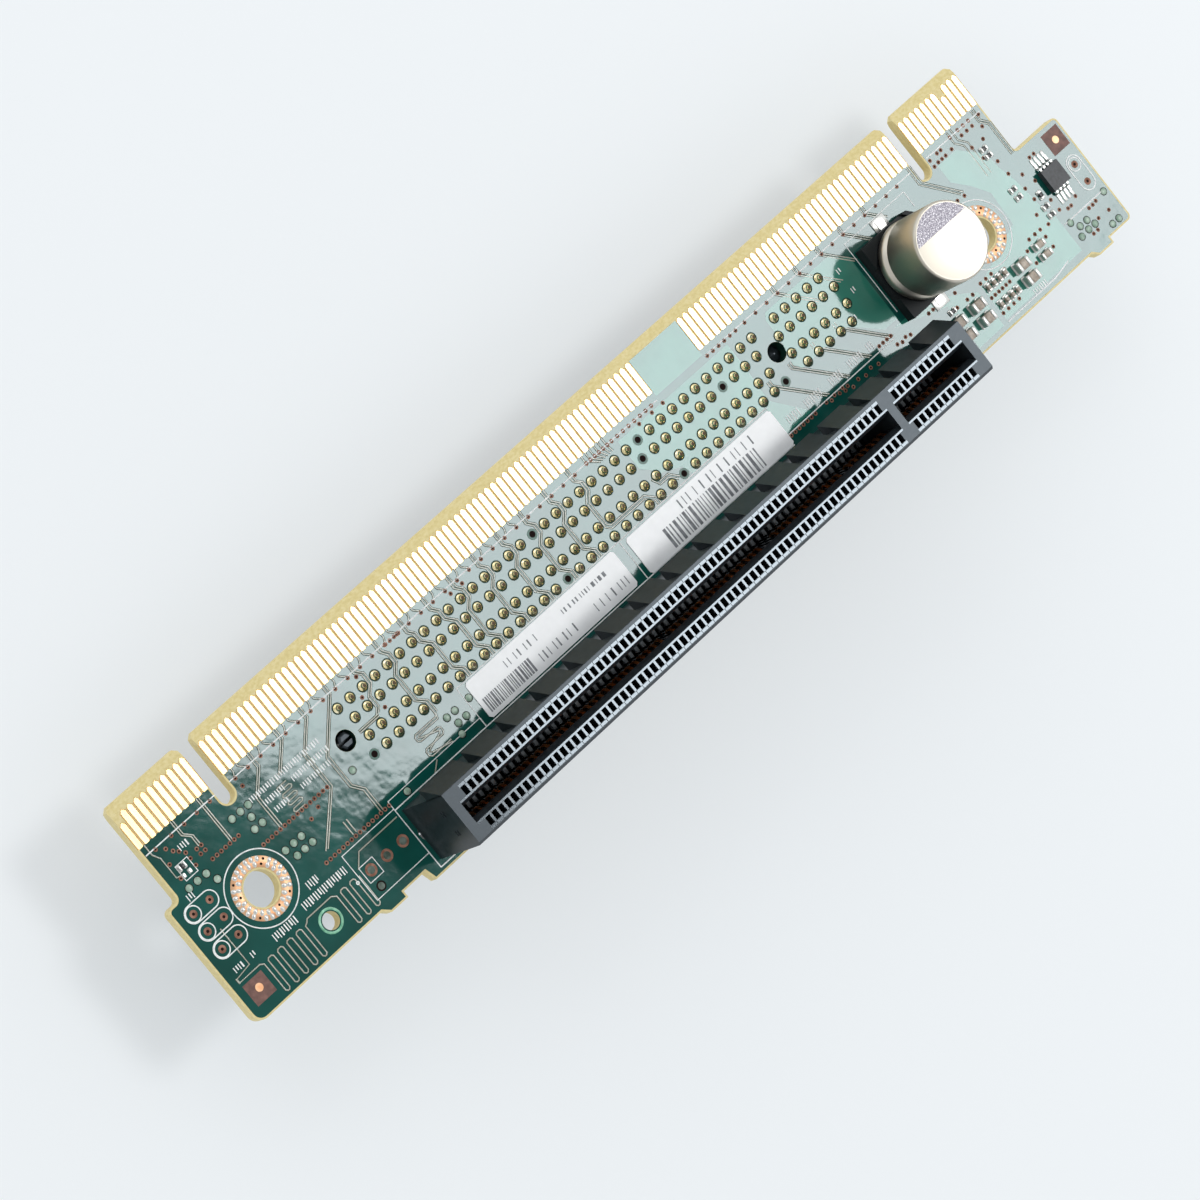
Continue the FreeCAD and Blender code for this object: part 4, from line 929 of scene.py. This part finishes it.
def pegs():
    # six-sided pegs below the housing: a short blunt one, and a long one split to spring
    whole = [(PEG_SIZE * math.cos(math.radians(60 * i)), PEG_SIZE * math.sin(math.radians(60 * i)))
             for i in range(6)]
    flat = PEG_SIZE * math.sin(math.radians(60))
    near = PEG_SIZE - PEG_CUT / math.tan(math.radians(60))
    half = [(near, PEG_CUT), (PEG_SIZE / 2, flat), (-PEG_SIZE / 2, flat), (-near, PEG_CUT)]
    # a peg's levels: how wide it is there, as a share, and how high
    blunt = ((1.0, 0.02), (1.0, -0.35), (0.1, -0.9))
    sprung = ((1.0, 0.02), (1.0, -1.5), (0.75, -1.8))
    bm = bmesh.new()
    for centre, outline, levels in ((PEG_PLACES[0], whole, blunt), (PEG_PLACES[1], half, sprung),
                                    (PEG_PLACES[1], [(x, -y) for x, y in half], sprung)):
        rings = [[bm.verts.new(((centre + x * wide) * MM, y * wide * MM, z * MM))
                  for x, y in outline] for wide, z in levels]
        bm.faces.new(rings[0])
        bm.faces.new(rings[-1])
        for high, low in zip(rings, rings[1:]):
            for i in range(len(outline)):
                j = (i + 1) % len(outline)
                bm.faces.new((high[i], high[j], low[j], low[i]))
    bmesh.ops.recalc_face_normals(bm, faces=bm.faces)
    return bm


def spring_shape(side):
    # a flat spring: up from the floor of its cell, out into the slot at the crown, back to its tip
    line = [(1.9, WELL_FLOOR), (1.8, 4.6), (1.35, 6.2), (0.75, 7.2), (0.5, 7.75), (0.62, 8.4),
            (0.88, 8.9), (1.28, 9.7), (1.55, 10.2)]
    half, thick = 0.2, 0.13
    bm = bmesh.new()
    rails = [[bm.verts.new((x * MM, side * (y + offset) * MM, z * MM)) for y, z in line]
             for x, offset in ((-half, 0.0), (half, 0.0), (half, thick), (-half, thick))]
    for i in range(len(line) - 1):
        for a, b in zip(rails, rails[1:] + rails[:1]):
            bm.faces.new((a[i], b[i], b[i + 1], a[i + 1])).smooth = True
    bm.faces.new([rail[-1] for rail in rails])
    bmesh.ops.recalc_face_normals(bm, faces=bm.faces)
    return bm


# Glass-filled nylon: black with a fine satin texture from the tool, so it greys under a lamp.
def nylon(name, smoothest, roughest, depth, gloss, deep="#15191c", pale="#252b2f"):
    material = finish(name, deep, roughest, IOR=1.52, Specular_IOR_Level=gloss,
                      Specular_Tint=linear("#dfecf6"))
    return grain(material, 0.625, [(0.3, deep), (0.7, pale)], depth, 0.03, (smoothest, roughest),
                 4.0)


housing_nylon = nylon("black glass-filled nylon", 0.3, 0.38, 0.12, 0.62)
polished_nylon = nylon("black nylon from polished inserts", 0.07, 0.12, 0.03, 0.9)
# Painted light: the black nylon of the slot's floor bars, as the lamp lights it, is given as a pale
# grey.
painted_light_nylon = nylon("black nylon, painted lit grey", 0.45, 0.55, 0.12, 0.5, "#7c8286",
                    "#a6acaf")
# Spring alloy with a flash of gold at the crown: a warm, orange metal.
spring_alloy = grain(finish("gold-flashed phosphor bronze", "#e89e58", 0.36, 1.0), 1.1111,
                     [(0.35, "#dc8a46"), (0.7, "#f8c088")])

for which, move in SLOTS.items():
    moulding, inserts, springs, tips = [housing_body(), pegs()], [], [], []
    for side in (-1, 1):
        for section, group in ((LIP_SECTION, moulding), (LIP_CREST, inserts)):
            group.append(moulded([(mirrored(section, side), SLOT_LEFT, -KEY_HALF),
                                  (mirrored(section, side), KEY_HALF, SLOT_RIGHT)]))
        # springs only where the CAD has them
        sprung = [place.x / MM for place in contact_places(which) if place.y * side > 0]
        for section, half, xs, material, group in (
                (RIB_SECTION, RIB_HALF, BETWEEN, polished_nylon, inserts),
                (STEP_SECTION, STEP_HALF, COLUMNS, polished_nylon, inserts),
                (TIP_SECTION, TIP_HALF, sprung, bright_solder, tips)):
            shape = stretch_of(mirrored(section, side), half)
            group.append(stamped_mesh(which, shape, along(xs), material))
        springs.append(stamped_mesh(which, spring_shape(side), along(sprung), spring_alloy))
    # bars across the floor of the slot, between the contacts
    bars = [stamped_mesh(which, stretch_of(FLOOR_BAR, BAR_HALF), along(BETWEEN), painted_light_nylon)]
    for part, shapes, material, slot, stands_for in (
            ("floor_bars", bars, painted_light_nylon, "housing_plastic", ()),
            ("moulding", moulding, housing_nylon, "housing_plastic", ("housing",)),
            ("ribs", inserts, polished_nylon, "housing_plastic", ()),
            ("springs", springs, spring_alloy, "contact_metal", ("contacts",)),
            ("spring_tips", tips, bright_solder, "tinned_metal", ())):
        piece(which + "_slot_" + part, joined(shapes, move), material, slot,
              *[which + "_slot_" + node for node in stands_for])


# Soldered tails
# Each contact ends in a pin through a gold-plated hole in the far face. The lacquer keeps clear of
# the pads, and a ring of painted shade, dark green, stands round each; the lacquer runs up to the
# unplated holes.

INNER_ROW, OUTER_ROW = 1.25, 3.25
PIN_TOP = 0.6
# contacts are numbered leftwards from the slot's right end, where the key takes up two places
RIGHT_END, KEY_PLACES = 12.5, 2
# contacts that were never fitted, by the side that they would stand on; all lie left of the key
UNFITTED = {-1: (19, 32, 33, 50), 1: (12, 30, 50, 82)}
TOOLING_HOLE = (11.62, -13.65)
COLLAR_LIFT = 0.011
TOOLING_SIZE, PEG_HOLE_SIZE, SLEEVE_SIZE = (1.06, 1.06, 1.0), (1.26, 1.26, 1.0), (1.25, 1.25, 1.0)
UPSIDE_DOWN = (math.pi, 0, 0)

# Gold flash over the fillet of each hole: pale and bright, in patches.
plated_pad = grain(finish("gold-plated hole round its pin", "#f0e0ae", 0.2, 1.0), 0.7692,
                   [(0.3, "#e6d49c"), (0.55, "#f6e9bc"), (0.8, "#fdf7e2")], detail=3.0)
# The pin's end is sheared, so it is brown, rough and dull.
pin_end = grain(finish("sheared pin end", "#5a4630", 0.5, Specular_IOR_Level=0.25), 0.4167,
                depth=0.3)
# Painted light: light that has run through the laminate is painted as a green glow round the
# tooling hole.
glow_green = grain(finish("painted glow of light through laminate", "#3f9e72", 0.3), 0.8333,
                   [(0.3, "#2f8a62"), (0.7, "#9ad6b6")])
# Lacquer that has run into an open hole: a darker, wet green.
teal_ring = grain(finish("green lacquer in an open hole", "#265c4e", 0.3, Specular_IOR_Level=0.4),
                  0.8333, depth=0.3, step=0.05)


def tail_place(which, x, side):
    # a contact's tail: even ones in the outer rows, odd ones in the inner rows
    number = round(RIGHT_END - (KEY_PLACES if x < 0 else 0) - x / MM)
    row = INNER_ROW if number % 2 else OUTER_ROW
    return SLOTS[which] @ Vector((x, side * row * MM, -THICKNESS))


tail_shape = turned_shape([(0.56, 0.0), (0.54, 0.07), (0.44, 0.1), (0.35, 0.17), (0.29, 0.32),
                           (0.25, 0.5), (0.2, 0.58), (0.0, 0.58)], 16)
end_shape = turned_shape([(0.22, 0.0), (0.2, 0.02), (0.0, 0.035)], 10, False)
painted_shade_ring = turned_shape([(0.7, 0.0), (0.68, 0.015), (0.3, 0.015)], 18, False)
for which, way, node in (("rear", 1, ("rear_slot_tails",)), ("front", -1, ())):
    rows = [tail_place(which, at.x, math.copysign(1, at.y)) for at in contact_places(which)]
    turns = [(0, 0, 0) if way == 1 else UPSIDE_DOWN] * len(rows)
    for part, bm, lift, material, slot, stands_for in (
            ("pads", tail_shape, ABOVE, plated_pad, "contact_metal", node),
            ("ends", end_shape, PIN_TOP, pin_end, "contact_metal", ()),
            ("rings", painted_shade_ring, FACE, painted_shade_lacquer, "laminate", ())):
        lifted = [at + Vector((0, 0, way * lift * MM)) for at in rows]
        stamped(which + "_tail_" + part, bm.copy(), lifted, material, slot, *stands_for,
                turns=turns)

# The unfitted contacts' holes are open, each in its ring, with a bore of painted shade.
open_places = [tail_place("rear", (RIGHT_END - KEY_PLACES - number) * MM, side)
               + Vector((0, 0, FACE * MM))
               for side, numbers in UNFITTED.items() for number in numbers]
open_ring = turned_shape([(0.66, 0.0), (0.64, 0.02), (0.4, 0.02)], 18, False)
stamped("open_hole_rims", open_ring, open_places, teal_ring, "laminate")
stamped("open_hole_bores", disc(0.4, 14), open_places, painted_hole_shade, "laminate")

# Collars of lacquer round the tooling hole and the peg holes.
peg_holes = [SLOTS[which] @ Vector((x * MM, 0, 0)) for which in SLOTS for x in PEG_PLACES]
holes = [spot(*TOOLING_HOLE)] + peg_holes
collar = turned_shape([(1.36, 0.0), (1.0, 0.0)], 40, False)
for face, z, turn in (("front", COLLAR_LIFT * MM, (0, 0, 0)),
                      ("back", -THICKNESS - COLLAR_LIFT * MM, UPSIDE_DOWN)):
    stamped("hole_collars_" + face, collar.copy(), [(p.x, p.y, z) for p in holes], solder_mask,
            "laminate", extents=[TOOLING_SIZE] + [PEG_HOLE_SIZE] * len(peg_holes),
            turns=[turn] * len(holes))
# Painted shade: the drilled walls of the peg holes are lined with the same dark, matt green that
# stands for shade.
deep = -THICKNESS / MM
sleeve = turned_shape([(1.0, 0.0), (1.0, deep), (0.98, deep), (0.98, 0.0), (1.0, 0.0)], 40, False)
bmesh.ops.remove_doubles(sleeve, verts=sleeve.verts, dist=1e-7)
bmesh.ops.recalc_face_normals(sleeve, faces=sleeve.faces)
stamped("peg_hole_walls", sleeve, [(p.x, p.y, 0) for p in peg_holes], painted_shade_lacquer, "laminate",
        extents=[SLEEVE_SIZE] * len(peg_holes))
edge = turned_shape([(1.5, 0.0), (1.46, 0.012), (1.24, 0.012), (1.2, 0.0)], 48)
stamped("tooling_hole_edge", edge, [spot(*TOOLING_HOLE, 0.014)], glow_green, "laminate")


# Electrolytic capacitor
# A drawn aluminium can, rolled in near its foot to grip its rubber bung, on a black moulded base.
# A printed segment on its top marks one pole. Its flat leads are soldered to two large pads.

CAN_LOW, CAN_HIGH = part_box("capacitor_can")
CAN_MIDDLE = middle((CAN_LOW, CAN_HIGH))
CAN_RADIUS = (CAN_HIGH.x - CAN_LOW.x) / 2 / MM
CAN_FOOT, CAN_TOP = CAN_LOW.z / MM, CAN_HIGH.z / MM
# how far the can's side lies in, by height above its foot and by depth below its top
FOOT_CURVE = [(0.5, 0.0), (0.12, 0.2), (0.0, 0.55), (0.0, 1.25), (0.12, 1.5), (0.5, 1.75),
              (0.62, 1.95), (0.5, 2.15), (0.12, 2.4), (0.0, 2.65)]
HEAD_CURVE = [(0.0, 0.4), (0.05, 0.2), (0.15, 0.06), (0.28, 0.0), (0.36, 0.02)]
POLE_LINE, POLE_REACH, POLE_SIDES = 1.83, CAN_RADIUS - 0.38, 40
CAPACITOR_PADS = [(121.27, 3.3), (121.27, -8.5)]

# Drawn aluminium: satin, with fine rings round it from the draw.
can_metal = grain(finish("drawn aluminium, satin", "#c6c0b4", 0.42, 1.0), 3.8462, depth=0.06,
                  gloss=(0.34, 0.46), detail=5.0, stretch=(0.3, 0.3, 20.0))
# Screen-printed ink, thin enough for bright metal to glint through.
pole_ink = grain(finish("grey marking ink on aluminium", "#8f8c93", 0.4, 0.3), 0.15385,
                 [(0.4, "#716d78"), (0.55, "#97939c"), (0.68, "#e4e2e6")])
# Phenolic resin: black, a little pitted and almost without gloss.
base_plastic = grain(finish("black phenolic moulding", "#1b1f21", 0.45, Specular_IOR_Level=0.2),
                     0.6667, depth=0.2, step=0.05, detail=3.0)

profile = [(0.0, CAN_FOOT)]
profile += [(CAN_RADIUS - inset, CAN_FOOT + rise) for inset, rise in FOOT_CURVE]
profile += [(CAN_RADIUS - inset, CAN_TOP - fall) for inset, fall in HEAD_CURVE]
can = turned_shape(profile + [(0.0, CAN_TOP - 0.02)], 96)
bmesh.ops.translate(can, verts=can.verts, vec=(CAN_MIDDLE.x, CAN_MIDDLE.y, 0))
piece("capacitor_can_drawn", can, can_metal, "can_aluminium", "capacitor_can")
half_angle = math.acos(POLE_LINE / POLE_REACH)
angles = [math.pi / 2 + half_angle * (2 * i / POLE_SIDES - 1) for i in range(POLE_SIDES + 1)]
sheets("capacitor_pole_mark", [[(CAN_MIDDLE.x + POLE_REACH * MM * math.cos(a),
                                 CAN_MIDDLE.y + POLE_REACH * MM * math.sin(a),
                                 (CAN_TOP - 0.012) * MM) for a in angles]],
       pole_ink, "base_plastic")
for node, material in (("capacitor_base", base_plastic), ("capacitor_leads", bright_solder)):
    nodes[node].material_slots[0].material = material


def soft_block(width, depth, height, rounding):
    # a block with rounded edges, standing on its foot
    bm = bmesh.new()
    bmesh.ops.create_cube(bm, size=1.0)
    bmesh.ops.scale(bm, verts=bm.verts, vec=(width * MM, depth * MM, height * MM))
    bmesh.ops.translate(bm, verts=bm.verts, vec=(0, 0, height * MM / 2))
    bmesh.ops.bevel(bm, geom=bm.edges[:], offset=rounding * MM, segments=2, affect="EDGES",
                    profile=0.5)
    for face in bm.faces:
        face.smooth = True
    return bm


stamped("capacitor_pads", soft_block(width=2.3, depth=1.5, height=0.16, rounding=0.06),
        spots(CAPACITOR_PADS, 0), bright_solder, "tinned_metal")


# Small integrated circuit
# A black epoxy body with four bent leads on each side, soldered to eight pads. The solder
# reaches a little past their toes.

IC_LOW, IC_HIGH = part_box("ic_leads")
IC_MIDDLE = middle((IC_LOW, IC_HIGH))
PAD_OUT = IC_HIGH.y - IC_MIDDLE.y - 0.05 * MM

# Filled epoxy from a mould: black, matt, with a fine speckle of filler.
ic_epoxy = grain(finish("black epoxy moulding", "#2b2d30", 0.42), 0.3846,
                 [(0.3, "#202225"), (0.7, "#3b3e42")], detail=3.0)
nodes["ic_body"].material_slots[0].material = ic_epoxy
nodes["ic_leads"].material_slots[0].material = bright_solder
leads = [middle(box) for box in loose_boxes("ic_leads")]
stamped("ic_pads", soft_block(width=0.42, depth=1.5, height=0.09, rounding=0.03),
        [(lead.x, IC_MIDDLE.y + math.copysign(PAD_OUT, lead.y - IC_MIDDLE.y), 0.0)
         for lead in leads], bright_solder, "tinned_metal")


# Chip capacitors and resistors
# Ceramic blocks with dipped metal ends. Solder wets the ends and draws up on them in a fillet.
# One resistor was never fitted, so its two pads carry solder alone.

CHIP_ROUNDING, SOLDER_ROUNDING = 0.09, 0.2
SOLDER_SPREAD, SOLDER_HEIGHT = 0.25, 0.12
EMPTY_PADS = [(1.75, 0.85), (2.65, 0.85)]

# Fired ceramic: tan, with a fine speckle and a soft gloss.
ceramic = grain(finish("fired tan ceramic", "#a89a8a", 0.38), 0.5,
                [(0.3, "#8f8172"), (0.7, "#bdb0a2")], detail=3.0)
# Resistor glaze: black and glossy, a little uneven.
glaze = grain(finish("black resistor glaze", "#1b1b1c", 0.3), 0.5, depth=0.2)


def chips(kind, body_finish, slot):
    # rounded blocks in the places of the CAD's, with their solder
    for part, material, part_slot in (("bodies", body_finish, slot),
                                      ("terminals", bright_solder, "tinned_metal")):
        node = kind + "_" + part
        boxes = loose_boxes(node)
        places = [(middle(box).x, middle(box).y, 0) for box in boxes]
        extents = [tuple((high - low) / MM) for low, high in boxes]
        stamped(node + "_moulded", soft_block(1, 1, 1, CHIP_ROUNDING), places, material,
                part_slot, node, extents=extents)
    spread = [(width + SOLDER_SPREAD, depth + SOLDER_SPREAD, SOLDER_HEIGHT)
              for width, depth, _ in extents]
    stamped(kind + "_solder", soft_block(1, 1, 1, SOLDER_ROUNDING), places, bright_solder,
            "tinned_metal", extents=spread)


for kind in ("large_capacitor", "medium_capacitor", "small_capacitor"):
    chips(kind, ceramic, "capacitor_ceramic")
chips("resistor", glaze, "resistor_ceramic")
stamped("empty_pads", soft_block(width=0.5, depth=0.55, height=0.05, rounding=0.02),
        spots(EMPTY_PADS, 0.01), bright_solder, "tinned_metal")


# Paper labels
# White coated paper, stuck down over the tracks. A thermal printer has put rows of grey bars and
# fine strokes on it.

PRINT_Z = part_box("serial_label")[1].z / MM + 0.004

# Coated paper: white and smooth, its fibres hardly showing.
paper = grain(finish("coated label paper", "#f4f5f6", 0.3), 1.1111,
              [(0.3, "#f1f2f3"), (0.7, "#f7f8f9")], detail=4.0)
# Thermal print: grey rather than black, and uneven.
label_ink = grain(finish("grey thermal print", "#6b6e72", 0.6), 0.6667,
                  [(0.35, "#6c6f73"), (0.7, "#9a9da1")])
for name in ("revision_label", "serial_label"):
    nodes[name].material_slots[0].material = paper

random.seed(7)
strokes = []
# each row of print: x from, x to, y from, y to, its widest bar and its narrowest gap
for x, x1, y0, y1, widest, gap in (
        (42.3, 49.8, -8.65, -6.8, 0.3, 0.14), (73.2, 89.0, -9.0, -6.4, 0.42, 0.2),
        (51.2, 57.0, -8.4, -7.3, 0.12, 0.5), (60.5, 66.0, -8.4, -7.3, 0.12, 0.5),
        (47.2, 52.8, -6.1, -5.2, 0.12, 0.5), (56.8, 64.2, -5.9, -5.3, 0.42, 0.3),
        (77.0, 90.2, -6.1, -4.9, 0.14, 0.6)):
    while x < x1:
        width = random.choice((0.12, 0.2, widest))
        strokes.append(rectangle(x, x + width, y0, y1, PRINT_Z))
        x += width + random.choice((gap, gap * 1.7))
sheets("label_print", strokes, label_ink, "resistor_ceramic")


# Studio
# The card lies on a pale paper sweep. One large soft lamp to its right is mirrored in the lacquer,
# a weak one fills from the far side, and pale walls light it all round.

floor = bmesh.new()
bmesh.ops.create_grid(floor, x_segments=1, y_segments=1, size=3.0)
sweep = set_down("sweep", as_mesh("sweep", floor))
sweep.location.z = cad_bounds[0].z - 0.5 * MM
# Matt paper. Seen by the camera and in reflections it is partly lit from within, so that shadows
# stay faint.
sweep_paper = finish("matt pale paper sweep", "#f4f7f9", 0.9)
sweep.data.materials.append(sweep_paper)
tree = sweep_paper.node_tree
seen = add(tree, "ShaderNodeLightPath").outputs
looks = add(tree, "ShaderNodeMath", {0: seen["Is Camera Ray"], 1: seen["Is Glossy Ray"]},
            operation="ADD")
looks = add(tree, "ShaderNodeMath", {0: looks.outputs[0], 1: seen["Is Transmission Ray"]},
            operation="ADD", use_clamp=True)
share = add(tree, "ShaderNodeMath", {0: looks.outputs[0], 1: 0.4}, operation="MULTIPLY")
glow = add(tree, "ShaderNodeEmission", {"Color": linear("#edf1f4"), "Strength": 1.0})
both = add(tree, "ShaderNodeMixShader", {0: share.outputs[0],
                                         1: tree.nodes["Principled BSDF"].outputs[0],
                                         2: glow.outputs[0]})
tree.links.new(both.outputs[0], tree.nodes["Material Output"].inputs["Surface"])

world = bpy.data.worlds.new("studio")
bpy.context.scene.world = world
world.use_nodes = True
air = world.node_tree
# dimmer overhead, where the camera and its stand are, and bright towards the white walls
where = add(air, "ShaderNodeTexCoord").outputs["Generated"]
height = add(air, "ShaderNodeSeparateXYZ", {"Vector": where}).outputs["Z"]
sky = add(air, "ShaderNodeValToRGB", {"Fac": height}, [(0.0, "#f4f7f9"), (0.74, "#f0f3f5"),
                                                       (0.88, "#95999b"), (1.0, "#8a8e90")])
air.links.new(sky.outputs["Color"], air.nodes["Background"].inputs["Color"])
air.nodes["Background"].inputs["Strength"].default_value = 1.0


def lamp(name, place, aim, width, height, watts):
    # a flat soft lamp, facing its aim
    data = bpy.data.lights.new(name, "AREA")
    data.shape = "RECTANGLE"
    data.size, data.size_y = width, height
    data.energy = watts
    thing = set_down(name, data)
    thing.location = place
    thing.rotation_euler = (Vector(aim) - Vector(place)).to_track_quat("-Z", "Y").to_euler()
    return thing


# faces straight down, turned so that its left side runs slantwise across the card's mirror image
strip = lamp("strip_box", (0.623, -0.114, 1.0), (0.623, -0.114, 0.0), 0.315, 0.37, 4.1)
strip.rotation_euler = (0, 0, math.radians(43))
# lightens the cheeks, and the labels at their foot
lamp("fill_box", (0.05, 0.75, 0.45), (0.06, 0.0, 0.0), 0.7, 0.5, 1.1)

# The camera stands where the photograph's does: above the card's left end, looking down along it.
CAMERA_PLACE = Vector((-0.19332, 0.07209, 0.50509))
CAMERA_RIGHT = Vector((0.66498, -0.62034, 0.41592))
CAMERA_UP = Vector((0.60659, 0.77348, 0.18382))
CAMERA_BACK = Vector((-0.43573, 0.13005, 0.89063))
camera_data = bpy.data.cameras.new("camera")
camera_data.sensor_width = 36.0
camera_data.lens = 149.98
camera_data.clip_start = 0.01
camera = set_down("camera", camera_data)
turning = Matrix((CAMERA_RIGHT, CAMERA_UP, CAMERA_BACK)).transposed().to_4x4()
camera.matrix_world = Matrix.Translation(CAMERA_PLACE) @ turning
bpy.context.scene.camera = camera
bpy.context.scene.view_settings.view_transform = "Standard"
